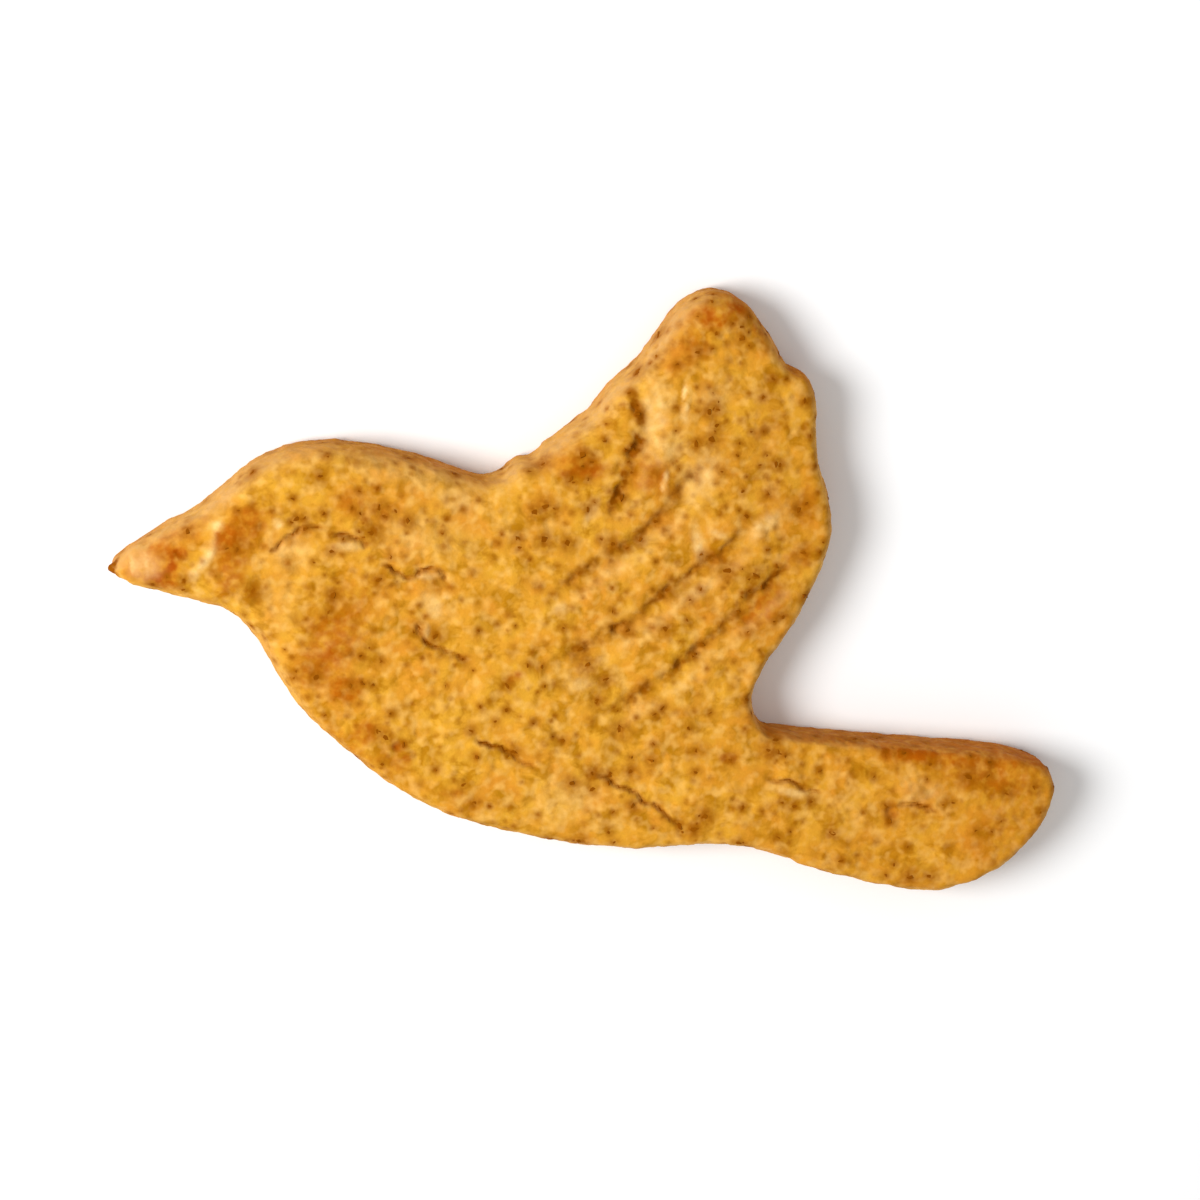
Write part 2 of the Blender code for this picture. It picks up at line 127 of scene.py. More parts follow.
SCORE_WANDER = 0.22     # how far a score strays from its line, and over what length
SCORE_WAVE = 1.7
SCORE_SHADES = (1.7, 1.0, 1.0, 1.05)    # how dark the painted shade is in each score
SHADE_OFFSET = 0.35     # how far up the upper wall it is darkest
SHADE_WIDTHS = (0.9, 0.45)      # how far the dark reaches down and up from there
LIGHT_OFFSET = 1.8      # how far out on the lower wall the painted light is strongest
LIGHT_WIDTH = 0.55
# Wavelength and amount by which a score's width, depth, shade and light waver
SCORE_UNEVEN = (1.4, 0.6)
SCORE_PRESSED = (2.6, 0.6)
SHADE_PATCHY = (1.2, 1.6)
LIGHT_PATCHY = (1.5, 1.6)

# Cracks that opened in the oven
EYE_CRACK = [(-33.6, 5.5), (-32.8, 6.6), (-31.3, 7.7), (-29.5, 8.4), (-27.4, 8.3)]
BROW_CRACK = [(-27.4, 7.3), (-26.0, 7.5), (-24.5, 7.1), (-23.5, 6.1)]
CHEEK_CRACK = [(-22.9, 4.1), (-22.1, 4.5), (-20.8, 3.6), (-19.3, 3.0), (-17.8, 3.8), (-16.3, 3.9),
               (-15.4, 2.0)]
BREAST_CRACK = [(-18.7, -1.4), (-17.8, -3.6), (-15.4, -4.8), (-12.7, -6.0)]
BELLY_CRACK = [(-12.9, -13.5), (-11.9, -14.6), (-10.0, -15.0), (-8.6, -15.7), (-7.6, -16.6),
               (-5.2, -17.7)]
RUMP_CRACK = [(-0.6, -18.3), (1.4, -18.5), (2.6, -19.6), (4.4, -20.2), (5.6, -21.4),
              (6.8, -21.8), (8.6, -23.4), (10.3, -24.0)]
TAIL_CRACK = [(18.2, -19.2), (20.6, -19.4), (22.6, -20.2), (24.6, -20.8)]
TAIL_PIT_CRACK = [(32.1, -22.3), (34.7, -22.2), (37.1, -23.1)]
CRACKS = (EYE_CRACK, BROW_CRACK, CHEEK_CRACK, BREAST_CRACK, BELLY_CRACK, RUMP_CRACK, TAIL_CRACK,
          TAIL_PIT_CRACK)
CRACK_DEPTH = 0.4
CRACK_HALF_WIDTH = 0.34
CRACK_LIP = 0.12        # height and reach of the raised lip along one side
CRACK_LIP_REACH = 1.2
CRACK_FADE = 0.18
CRACK_PATCHY = (1.1, 1.3)
CRACK_WANDER = 0.25
CRACK_WAVE = 1.0

# Pits where crumb broke out: place, radius and depth
PITS = (
    (31.9, -23.1, 0.8, 0.5), (-20.5, -14.9, 0.7, 0.4), (4.1, 16.6, 0.6, 0.4), (3.5, 15.6, 0.6, 0.4),
    (2.5, 11.9, 0.7, 0.35), (19.0, -19.0, 0.7, 0.3), (-42.9, 5.7, 0.6, 0.3), (16.5, 0.7, 0.9, 0.4),
    (10.8, -4.9, 0.7, 0.3), (2.1, -2.7, 0.7, 0.3),
)
# Flakes that stand up from the crust: place, length, width, heading in degrees and height
FLAKES = (
    (-21.9, 2.8, 2.4, 1.5, 10.0, 0.22), (-17.8, 2.4, 3.0, 1.9, -15.0, 0.25),
    (-26.1, 6.3, 2.6, 1.4, 5.0, 0.22), (9.1, 21.4, 3.0, 0.8, 86.0, 0.18),
    (17.6, 8.0, 2.8, 1.8, 40.0, 0.22), (-40.2, 5.2, 3.4, 0.8, 52.0, 0.2),
    (34.1, -21.0, 3.0, 1.8, 0.0, 0.2), (20.7, -18.3, 2.6, 1.4, -20.0, 0.18),
    (7.1, 12.9, 2.4, 0.8, 85.0, 0.16), (-17.7, -2.7, 1.4, 0.7, 80.0, 0.18),
)

# Crumb: widths of its lumps, grain and lifted scales, and the spacing and size of its craters
LUMP_WIDTH = 2.3
GRAIN_WIDTH = 0.95
SCALE_WIDTH = 3.1
CRATER_SPACING = 1.5
CRATER_RADIUS = 0.34    # as a share of the spacing
CRATER_FIELD = 4.3      # width of the fields that have craters

# The oven was hotter towards the tail's end, where the whole crust took more colour
HOT_START = 5.0
HOT_FULL = 48.0
HOT_TOASTING = 0.3
# Plan directions of the wing's side, where walls are painted browner, partly as painted shade, of the
# side towards the lamp, where the sloped rims get a painted sheen, and of the side away from the lamp,
# where slopes are painted paler as painted light
WING_SIDE = (0.12, 1.0)
LAMP_SIDE = (-0.85, 0.5)
AWAY_FROM_LAMP = (0.8, -0.6)
TRAY_REACH = 1.6        # height over which the hot tray browned the side
# Strengths of the colours: browning on every wall, browning and painted shade on walls facing the
# wing's side, browning at the hotter end of the tray and beside the tray, redder walls facing the
# wing's side, painted sheen on rims, pale patches, painted light on the scores' lower walls, painted
# shade in scores and cracks, and the burnt nub
WALL_BROWNING = 0.1
WING_SIDE_DARKENING = 0.65
END_BROWNING = 0.2
TRAY_BROWNING = 0.35
TRAY_REDDENING = 0.3
WING_SIDE_REDDENING = 0.45
LAMP_SIDE_SHEEN = 0.75
WING_SIDE_SHEEN = 0.3
PATCH_PALE = 0.7
SCORE_PALE = 0.14
SCORE_DARK = 0.6
CRACK_DARK = 0.8
NUB_DARK = 1.4
PATCH_EDGE = 1.3        # how sharply a patch ends
PATCH_RAGGED = (0.9, 0.9)

# Patches of baked colour: place, half length, half width, heading in degrees and strength.
# Brown, where the oven caught the crust
TOASTED = (
    (-38.2, 7.2, 1.5, 1.2, 60.0, 1.3), (-37.5, 5.2, 2.6, 1.6, 90.0, 0.5),
    (-35.8, 9.6, 2.2, 1.0, 12.0, 0.7), (-35.8, 8.7, 3.2, 1.2, 33.0, 0.65),
    (-37.6, 2.8, 1.8, 1.2, 60.0, 0.7), (-44.6, 3.4, 2.6, 1.6, 0.0, 0.8),
    (-44.9, 5.9, 2.2, 0.9, 20.0, 0.8), (-46.6, 4.3, 2.4, 1.6, 8.0, 0.9),
    (-43.9, 6.6, 5.0, 2.0, 33.0, 0.45), (-45.4, 4.4, 1.4, 0.3, 95.0, 0.9),
    (-46.8, 3.5, 2.0, 0.8, -14.0, 1.1), (-25.2, 1.2, 2.8, 2.2, 0.0, 0.4),
    (-27.2, -2.4, 3.4, 2.8, 0.0, 0.5), (-28.7, -6.0, 3.4, 2.4, 60.0, 0.6),
    (-26.0, -8.7, 2.0, 1.4, 0.0, 1.0), (-25.2, -14.7, 4.0, 0.8, -40.0, 0.5),
    (-23.6, -13.3, 2.2, 1.3, 20.0, 0.65), (-21.2, -16.5, 2.4, 1.2, -30.0, 0.55),
    (-22.6, 9.8, 2.2, 1.0, 10.0, 0.6), (-25.4, 10.8, 2.2, 1.4, -30.0, 0.65),
    (-15.8, -20.4, 5.0, 1.4, -22.0, 0.15), (-1.6, 14.4, 2.8, 1.5, -10.0, 0.8),
    (1.2, 18.4, 2.2, 1.5, 40.0, 0.2), (5.6, 13.4, 2.0, 2.2, 60.0, 0.8),
    (9.6, 26.6, 2.2, 2.0, 45.0, 0.6), (12.0, 29.7, 2.4, 1.3, 0.0, 0.9),
    (14.6, 30.6, 2.0, 0.9, -30.0, 0.8), (8.2, 24.8, 1.6, 1.1, 30.0, 0.5),
    (16.9, 28.4, 2.4, 0.9, -62.0, 0.7), (17.8, 18.2, 2.6, 1.8, 70.0, 0.35),
    (18.2, 10.4, 2.8, 1.6, 60.0, 0.3), (12.2, 4.6, 2.0, 1.2, 20.0, 0.5),
    (17.6, -0.8, 3.2, 1.8, 40.0, 0.8), (21.0, 4.4, 2.6, 1.4, 25.0, 0.5),
    (22.2, 10.1, 1.0, 3.0, 0.0, 0.5), (41.0, -17.4, 7.6, 1.4, -6.0, 0.8),
    (42.3, -19.4, 5.0, 1.8, -12.0, 0.7), (33.6, -16.7, 3.2, 1.0, -6.0, 1.2),
    (31.7, -22.9, 0.8, 1.6, 0.0, 0.5), (44.4, -24.6, 4.4, 3.4, 50.0, 0.3),
)
# Orange red, where the butter browned
RUDDY = (
    (-44.8, 2.9, 1.3, 0.9, -12.0, 1.2), (-43.7, 4.3, 1.6, 0.6, 80.0, 1.1),
    (-42.8, 5.7, 0.9, 0.6, 0.0, 0.9), (-44.2, 4.6, 2.0, 1.3, 70.0, 0.45),
    (-38.4, 6.9, 0.9, 0.7, 80.0, 0.5), (-36.8, 6.6, 4.4, 2.0, 64.0, 0.38),
    (-35.3, 10.2, 1.6, 0.7, 0.0, 0.3), (11.4, 29.7, 0.9, 0.8, 0.0, 0.9),
    (14.4, 30.8, 1.3, 0.7, -25.0, 0.8), (-1.5, 14.2, 0.7, 0.5, 0.0, 0.8),
    (-3.1, 13.7, 0.9, 0.4, 0.0, 0.8), (-0.2, 14.0, 0.8, 0.7, 0.0, 0.6),
    (-23.9, -13.0, 1.1, 0.8, 20.0, 0.5), (-20.5, -14.8, 0.7, 0.6, 0.0, 0.8),
    (-19.6, -16.2, 0.8, 0.6, 60.0, 0.8), (-26.9, -4.7, 1.8, 1.2, 40.0, 0.6),
    (-27.0, -3.4, 4.4, 2.8, 60.0, 0.42), (33.6, -16.4, 3.6, 1.0, -6.0, 0.6),
    (-14.6, -19.8, 1.2, 0.4, 0.0, 0.6), (-8.4, -7.6, 1.0, 0.5, 20.0, 0.8),
    (14.3, -16.7, 0.9, 0.5, 0.0, 0.9), (40.5, -18.0, 3.0, 0.7, -8.0, 0.3),
)
# The burnt nub of dough that stands out of the beak's tip
NUB_PLACE = (-50.0, 3.6, 2.8)
NUB_LENGTH = 0.6
NUB_RADIUS = 0.55
# Cream, where the crust stayed pale; several patches on the scores' lower walls are painted light, and
# one on the beak is a painted highlight
PALE = (
    (-40.2, 5.1, 1.5, 0.45, 58.0, 1.2), (-41.4, 3.5, 0.7, 0.5, 60.0, 0.95),
    (-39.5, 6.8, 1.2, 0.4, 84.0, 0.4), (-39.1, 8.6, 0.6, 0.5, 0.0, 1.1),
    (-47.6, 4.4, 1.1, 0.45, 95.0, 0.8), (-46.2, 4.6, 1.2, 0.3, 95.0, 0.75),
    (-46.5, 4.2, 1.7, 1.5, 0.0, 0.6), (-32.9, 8.8, 0.5, 0.5, 0.0, 1.5),
    (-31.5, 5.8, 2.2, 1.8, 0.0, 0.3), (-32.5, 0.4, 2.2, 2.6, 0.0, 0.15),
    (-25.8, 6.4, 1.5, 0.5, 0.0, 0.8), (-20.0, 14.0, 6.0, 1.2, -10.0, 0.25),
    (-17.4, 3.2, 1.2, 0.3, 0.0, 0.7), (-15.5, 1.1, 0.5, 0.4, 0.0, 0.6),
    (-17.0, 0.0, 1.6, 1.0, -50.0, 0.6), (-17.6, -2.7, 0.8, 0.35, 80.0, 0.8),
    (-17.9, 7.4, 5.0, 2.0, 0.0, 0.2), (-2.8, -20.7, 3.4, 2.2, 0.0, 0.25),
    (-14.0, 11.0, 2.4, 1.4, -20.0, 0.3), (8.9, 22.1, 0.8, 0.24, 80.0, 1.1),
    (9.2, 20.5, 0.6, 0.22, 100.0, 0.9), (9.0, 19.6, 1.0, 0.5, 90.0, 0.7),
    (7.1, 13.4, 0.7, 0.24, 82.0, 1.0), (6.8, 12.2, 0.5, 0.2, 100.0, 0.9),
    (5.9, 20.0, 2.6, 1.4, 80.0, 0.8), (6.6, 16.5, 2.4, 1.8, 0.0, 0.5),
    (10.6, 13.2, 2.6, 1.6, 70.0, 0.7), (12.0, 21.8, 2.2, 1.2, 20.0, 0.3),
    (17.6, 8.0, 1.8, 0.8, 40.0, 0.9), (10.6, 6.2, 1.5, 0.5, 100.0, 1.3),
    (12.7, 7.2, 1.2, 0.4, -30.0, 0.7), (5.7, 6.9, 1.8, 0.6, 30.0, 0.4),
    (-0.6, 9.6, 1.4, 0.4, 60.0, 0.8), (-3.8, -0.4, 0.8, 0.6, 20.0, 0.6),
    (2.0, 3.8, 1.8, 0.9, 30.0, 0.4), (-1.6, -8.4, 1.4, 0.8, 0.0, 0.55),
    (10.4, 1.0, 2.2, 0.7, 30.0, 0.7), (5.6, -2.2, 1.8, 0.6, 20.0, 0.35),
    (11.6, -6.4, 2.2, 0.7, 35.0, 0.15), (27.0, -22.4, 2.4, 1.2, -20.0, 0.12),
    (35.0, -20.9, 2.0, 1.2, 0.0, 0.35), (21.3, -20.6, 2.2, 0.45, -15.0, 0.65),
)
# The largest clumps of tea that show through the crust: place, reach and strength
TEA_CLUMPS = (
    (-42.7, 5.8, 0.4, 0.6), (-40.7, 5.2, 0.4, 0.7), (-42.6, 2.5, 0.6, 1.0), (-35.5, 10.9, 0.6, 0.7),
    (-31.4, 11.4, 0.5, 0.8), (-29.1, -7.4, 0.8, 0.8), (-31.2, -6.7, 0.4, 0.8), (-24.1, -7.8, 0.5, 0.8),
    (-26.2, 7.4, 0.5, 0.9), (-22.9, 12.3, 0.5, 1.0), (-22.0, 9.5, 0.7, 0.9), (-20.9, 10.0, 0.5, 0.8),
    (-24.9, 15.5, 0.5, 0.7), (-15.3, 2.1, 0.5, 0.7), (-12.1, -2.8, 0.5, 0.9), (-15.7, -4.7, 0.6, 0.7),
    (-12.9, -6.6, 0.3, 0.9), (-9.0, -1.1, 0.5, 0.7), (-7.2, -6.4, 0.6, 0.8), (-5.5, -6.6, 0.6, 0.8),
    (-9.4, -11.0, 0.6, 0.9), (-22.4, -13.0, 0.5, 0.8), (-20.5, -14.8, 0.6, 1.0),
    (-12.4, -15.9, 0.6, 0.8), (-10.8, -21.3, 0.4, 1.0), (3.6, 20.2, 0.7, 0.9), (-1.5, 14.5, 0.5, 0.9),
    (-2.6, 12.8, 0.4, 0.9), (-1.0, 13.0, 0.5, 0.8), (33.3, -16.1, 0.5, 0.8), (31.2, -15.9, 0.5, 0.7),
    (3.8, 16.4, 0.5, 1.0), (3.3, 15.4, 0.5, 1.0), (2.5, 11.6, 0.7, 1.0), (6.0, 8.6, 0.6, 0.9),
    (4.4, 6.9, 0.7, 0.8), (8.3, 11.4, 0.7, 0.7), (6.0, 13.6, 0.7, 0.7), (14.7, 16.9, 0.5, 0.8),
    (15.9, 17.8, 0.4, 0.9), (17.5, 15.4, 0.5, 0.8), (12.3, 20.4, 0.5, 0.8), (17.0, 21.4, 0.6, 0.8),
    (11.7, 26.4, 0.4, 1.0), (7.8, 25.0, 0.5, 0.9), (19.8, 23.7, 0.5, 0.9), (17.6, 11.3, 0.7, 0.9),
    (15.7, 9.2, 0.6, 1.0), (21.9, 10.4, 0.5, 0.8), (11.0, 4.8, 0.5, 0.9), (8.5, 1.7, 0.6, 0.7),
    (2.0, -2.6, 0.5, 0.9), (11.0, -4.8, 0.6, 1.0), (5.3, -8.9, 0.7, 0.7), (15.0, -1.1, 0.5, 0.9),
    (16.4, 0.5, 0.7, 1.0), (17.7, 1.4, 0.6, 0.9), (19.0, 3.0, 0.5, 0.8), (19.1, -2.3, 0.4, 1.0),
    (23.6, 5.0, 0.5, 0.8), (-0.3, -12.3, 0.6, 0.7), (1.6, -18.7, 0.5, 0.8), (9.2, -23.7, 0.7, 0.8),
    (10.9, -18.0, 0.5, 0.8), (14.3, -16.7, 0.6, 0.9), (31.7, -24.0, 0.6, 1.0), (31.4, -22.2, 0.6, 0.9),
    (35.6, -19.6, 0.4, 0.9), (38.6, -22.0, 0.5, 0.8), (44.6, -20.4, 0.6, 0.7), (42.6, -25.3, 0.4, 0.8),
)
CLUMP_STRONG = 0.75     # strength above which a clump breaks the surface
# Where tea lies thicker or thinner than elsewhere: place, radius and share more or less
TEA_DRIFTS = (
    (-23.3, 10.5, 4.0, 0.7), (-45.5, 5.3, 4.0, 0.4), (9.9, 16.5, 9.0, 0.35), (16.1, 4.6, 5.0, 0.4),
    (15.9, 16.4, 5.0, 0.3), (-7.7, 10.8, 4.0, -0.3), (2.4, -6.1, 5.0, -0.3), (8.4, -7.2, 3.5, -0.35),
    (10.2, 13.4, 2.2, -0.8), (41.2, -25.9, 6.0, -0.5), (34.1, -26.8, 4.0, -0.3),
    (-15.4, -7.7, 3.0, -0.3), (-2.8, -20.7, 3.5, -0.3),
)

TEA_TOP = 5.0           # below this height, on the side and underside, it shows half as thickly
TEA_IN_SCORES = 0.9     # extra share that shows where the scores opened the crumb
TEA_WAVER = (3.4, 0.6)
SHARD_SIDES = 6
FLECK_STAIN = 0.85      # strength of the stain round a fleck
SUNK_REACHES = (0.26, 0.6)      # least and most reach of the stain over tea that lies deeper

# Half the table's width, and the lamp's width and distance, in metres
TABLE_HALF = 1.5
LAMP_SIZE = 0.3
LAMP_DISTANCE = 0.6
LAMP_HEADING = math.radians(175.0)
LAMP_ELEVATION = math.radians(46.0)
LENS = 135.0            # focal length, in millimetres
SENSOR_WIDTH = 36.0
LOOK_AT = Vector((0.9, -0.25, 4.0)) * MM    # middle of the picture

# Input and output numbers of Blender's Mix node when it mixes colours
MIX_A = 6
MIX_B = 7
MIX_RESULT = 2


def linear(code):
    """An sRGB hex colour as linear red, green and blue."""
    channels = [int(code[index:index + 2], 16) / 255.0 for index in (0, 2, 4)]
    return tuple(c / 12.92 if c <= 0.04045 else ((c + 0.055) / 1.055) ** 2.4 for c in channels)


def length_property(name, description, metres, lowest=0.0):
    """A fine length that a user can change."""
    return FloatProperty(name=name, description=description, default=metres, min=lowest,
                         unit="LENGTH", precision=5)


def colour_property(name, description, code):
    """A colour that a user can change, from its sRGB hex value."""
    return FloatVectorProperty(name=name, description=description, default=linear(code),
                               size=3, min=0.0, max=1.0, subtype="COLOR")


class CookieShape(PropertyGroup):
    """Sizes of the crust's fine relief and of the tea flecks."""

    mesh_step: length_property(
        "Mesh step", "Distance between points of the crust's mesh", 0.00027, 0.0002)
    lump_height: length_property(
        "Lump height", "Height of the soft lumps that the crumb pushes up", 0.00015)
    grain_height: length_property(
        "Grain height", "Height of the crumb's grain", 0.00009)
    crater_depth: length_property(
        "Crater depth", "Depth of the small craters that steam left", 0.00014)
    fleck_length: length_property(
        "Fleck length", "Usual length of a tea fleck", 0.00086, 0.0001)
    flecks_per_cm2: FloatProperty(
        name="Flecks per square centimetre", description="How thickly tea shows on the crust",
        default=7.0, min=0.0)
    stains_per_cm2: FloatProperty(
        name="Stains per square centimetre", description="How thickly tea lies just below it",
        default=40.0, min=0.0)
    seed: IntProperty(name="Seed", description="Seed of every random draw", default=7, min=0)


class CookieColours(PropertyGroup):
    """Colours of the baked dough and of the tea."""

    golden: colour_property("Golden", "Crust as most of it baked", "DA9E2E")
    orange: colour_property("Orange", "Crust where it turned more orange", "D28A28")
    amber: colour_property("Amber", "Crust where it took more colour", "B47810")
    butter: colour_property("Butter", "Specks of crust richer in butter", "ECB65C")
    # Cream also paints light on the scores' lower walls and on slopes away from the lamp
    cream: colour_property("Cream", "Patches that stayed pale", "F3CA82")
    # A painted sheen: a duller colour on the sloped rims
    rim_sheen: colour_property("Floury", "Duller crust on the cut edge, where flour clung", "D2A768")
    # Toasted and ruddy also paint shade on the walls facing the wing's side
    toasted: colour_property("Toasted", "Browned rim and patches", "B26008")
    ruddy: colour_property("Ruddy", "Patches where the butter browned red", "A04800")
    tea: colour_property("Tea", "Dried tea leaf", "844600")
    steeped: colour_property("Steeped dough", "Dough that the tea has stained", "925000")
    # Painted shade in the scores and cracks, and the burnt nub's own colour
    shade: colour_property("Open crumb", "Crumb laid open in scores and cracks", "8A4A00")


class CookieStage(PropertyGroup):
    """Table, light and camera."""

    table_colour: colour_property("Table", "Colour of the pale table", "F7F7F7")
    key_power: FloatProperty(
        name="Key light", description="Power of the soft light at the beak's side",
        default=3.6, min=0.0, unit="POWER")
    sky_strength: FloatProperty(
        name="Room light", description="Strength of the even white light all round",
        default=0.55, min=0.0)
    camera_tilt: FloatProperty(
        name="Camera tilt", description="How far the camera leans from straight above",
        default=math.radians(14.0), min=0.0, subtype="ANGLE")
    camera_heading: FloatProperty(
        name="Camera heading", description="Side it leans to, turning from the tail to the wing",
        default=math.radians(128.0), subtype="ANGLE")
    view_width: length_property(
        "View width", "Width of the picture where the cookie lies", 0.1249, 0.01)


def unit_rows(vectors):
    """Each row scaled to length one."""
    return vectors / np.maximum(np.linalg.norm(vectors, axis=1), 1e-9)[:, None]


def clamped(values):
    """Values kept between nothing and one."""
    return np.clip(values, 0.0, 1.0)


def eased(values):
    """Values kept between nothing and one, with a soft start and end."""
    inside = clamped(values)
    return inside * inside * (3.0 - 2.0 * inside)


def along_and_across(points, place, heading):
    """Offsets in the plan from a place, along a heading in degrees and across it."""
    turn = math.radians(heading)
    offsets = points - place
    return offsets @ (math.cos(turn), math.sin(turn)), offsets @ (-math.sin(turn), math.cos(turn))


def plan_noise(points, wavelength, level):
    """Noise over the plan, from about minus one to one."""
    return np.array([noise.noise(Vector((x, y, level)) / wavelength) for x, y in points])


def smooth_curve(points, closed, fine_step=0.05):
    """A smooth curve through the points, as closely spaced positions."""
    knots = np.array(points, dtype=float)
    if closed:
        before = np.roll(knots, 1, axis=0)
        after = np.roll(knots, -1, axis=0)
    else:
        before = np.vstack((knots[:1], knots[:-1]))
        after = np.vstack((knots[1:], knots[-1:]))
    directions = unit_rows(after - before)
    sides = len(knots) if closed else len(knots) - 1
    curve = []
    for index in range(sides):
        start = knots[index]
        end = knots[(index + 1) % len(knots)]
        third = np.linalg.norm(end - start) / 3.0
        start_handle = start + directions[index] * third
        end_handle = end - directions[(index + 1) % len(knots)] * third
        count = max(3, math.ceil(3.0 * third / fine_step))
        piece = geometry.interpolate_bezier(Vector(start), Vector(start_handle),
                                            Vector(end_handle), Vector(end), count + 1)
        curve.extend((position.x, position.y) for position in piece[:-1])
    if not closed:
        curve.append(tuple(knots[-1]))
    return np.array(curve)


def resample(curve, step, closed):
    """Evenly spaced positions on a fine curve."""
    loop = np.vstack((curve, curve[:1])) if closed else curve
    travelled = np.concatenate(([0.0], np.cumsum(np.linalg.norm(np.diff(loop, axis=0), axis=1))))
    count = max(2, round(travelled[-1] / step))
    marks = np.linspace(0.0, travelled[-1], count + 1)
    if closed:
        marks = marks[:-1]
    return np.column_stack((np.interp(marks, travelled, loop[:, 0]),
                            np.interp(marks, travelled, loop[:, 1])))


def line_normals(line):
    """Unit normals to the left of an open line."""
    along = unit_rows(np.gradient(line, axis=0))
    return np.column_stack((-along[:, 1], along[:, 0]))


def inward_normals(outline):
    """Unit normals of a clockwise closed outline, pointing into it."""
    along = unit_rows(np.roll(outline, -1, axis=0) - np.roll(outline, 1, axis=0))
    return np.column_stack((along[:, 1], -along[:, 0]))


def wandering(line, amount, wave, step):
    """A line that strays to both sides of its course as a tear in crumb does."""
    course = resample(smooth_curve(line, closed=False), step, False)
    stray = [noise.fractal(Vector((x, y, WANDER_LEVEL)) / wave, 1.0, 2.0, 2) for x, y in course]
    return course + line_normals(course) * (amount * np.array(stray))[:, None]


def nearest_on_line(points, line, closed):
    """Distance to a line of points, side of it (positive is its left) and share along it."""
    starts = line if closed else line[:-1]
    ends = np.roll(line, -1, axis=0) if closed else line[1:]
    sides = ends - starts
    lengths = np.linalg.norm(sides, axis=1)
    travelled = np.concatenate(([0.0], np.cumsum(lengths)))
    best = np.full(len(points), np.inf)
    left = np.ones(len(points))
    share = np.zeros(len(points))
    for index, side in enumerate(sides):
        away = points - starts[index]
        along = clamped(away @ side / max(lengths[index] ** 2, 1e-12))
        gap = away - along[:, None] * side
        distance = np.hypot(gap[:, 0], gap[:, 1])
        nearer = distance < best
        best[nearer] = distance[nearer]
        cross = side[0] * away[nearer, 1] - side[1] * away[nearer, 0]
        left[nearer] = np.where(cross >= 0.0, 1.0, -1.0)
        share[nearer] = (travelled[index] + along[nearer] * lengths[index]) / travelled[-1]
    return best, left, share


def depth_inside(points, outline):
    """Distance from each point to the outline, negative outside it."""
    distance, left, _ = nearest_on_line(points, outline, closed=True)
    return -distance * left


def around(points, line):
    """Which points lie in the box of a line, widened by its reach."""
    low = line.min(axis=0) - LINE_REACH
    high = line.max(axis=0) + LINE_REACH
    return np.all((points >= low) & (points <= high), axis=1)


def fade_ends(share, fade):
    """One along a line's middle, falling smoothly to nothing over the fade at each end."""
    return eased(np.minimum(share, 1.0 - share) / fade)


def swell(points):
    """Slow rise and fall of the rolled dough."""
    heights = np.zeros(len(points))
    for wavelength, height in SWELLS:
        heights += height * plan_noise(points, wavelength, SWELL_LEVEL)
    return heights


def wavering(points, wavelength, height):
    """A value about one that rises and falls over the plan."""
    return 1.0 + height * plan_noise(points, wavelength, WAVER_LEVEL)


def score_relief(points, lines):
    """Height change that the scored feathers make, with the painted shade on each score's upper wall
    and the painted light on its lower wall at each point."""
    relief = np.zeros(len(points))
    painted_shade_and_burn = np.zeros(len(points))
    painted_wall_light = np.zeros(len(points))
    for line, shade in zip(lines, SCORE_SHADES):
        near = around(points, line)
        spots = points[near]
        distance, left, share = nearest_on_line(spots, line, closed=False)
        uneven = wavering(spots, *SCORE_UNEVEN)
        faded = fade_ends(share, SCORE_FADE) * wavering(spots, *SCORE_PRESSED)

        groove = 1.0 - eased(distance / np.where(left > 0.0, SCORE_GENTLE, SCORE_STEEP * uneven))
        ridge = np.exp(-((distance - SCORE_GENTLE) / SCORE_RIDGE_WIDTH) ** 2) * (left > 0.0)
        relief[near] += faded * (SCORE_RIDGE * ridge - SCORE_DEPTH * groove)

        # Painted shade, darkest a little way up the upper wall
        offset = distance * left + SHADE_OFFSET
        width = np.where(offset > 0.0, *SHADE_WIDTHS) * uneven
        dark = np.exp(-(offset / width) ** 2) * np.clip(wavering(spots, *SHADE_PATCHY), 0.1, 1.3)
        painted_shade_and_burn[near] = np.maximum(painted_shade_and_burn[near], faded * shade * dark)

        # Painted light on the lower wall
        light = np.exp(-((distance - LIGHT_OFFSET) / LIGHT_WIDTH) ** 2) * (left > 0.0)
        light *= np.clip(wavering(spots + 50.0, *LIGHT_PATCHY), 0.1, 1.5)
        painted_wall_light[near] = np.maximum(painted_wall_light[near], faded * light)
    return relief, painted_shade_and_burn, painted_wall_light


def crack_relief(points, lines):
    """Height change that the cracks make, and the painted shade in them at each point."""
    relief = np.zeros(len(points))
    painted_shade_and_burn = np.zeros(len(points))
    for line in lines:
        near = around(points, line)
        distance, left, share = nearest_on_line(points[near], line, closed=False)
        gap = clamped(1.0 - distance / CRACK_HALF_WIDTH)
        lip = np.exp(-distance / CRACK_LIP_REACH) * (left < 0.0)
        patchy = np.clip(wavering(points[near], *CRACK_PATCHY), 0.2, 1.3)
        faded = fade_ends(share, CRACK_FADE) * patchy
        relief[near] += faded * (CRACK_LIP * lip - (CRACK_DEPTH + CRACK_LIP) * gap)
        # Painted shade in the crack
        painted_shade_and_burn[near] = np.maximum(painted_shade_and_burn[near], faded * clamped(1.3 * gap))
    return relief, painted_shade_and_burn


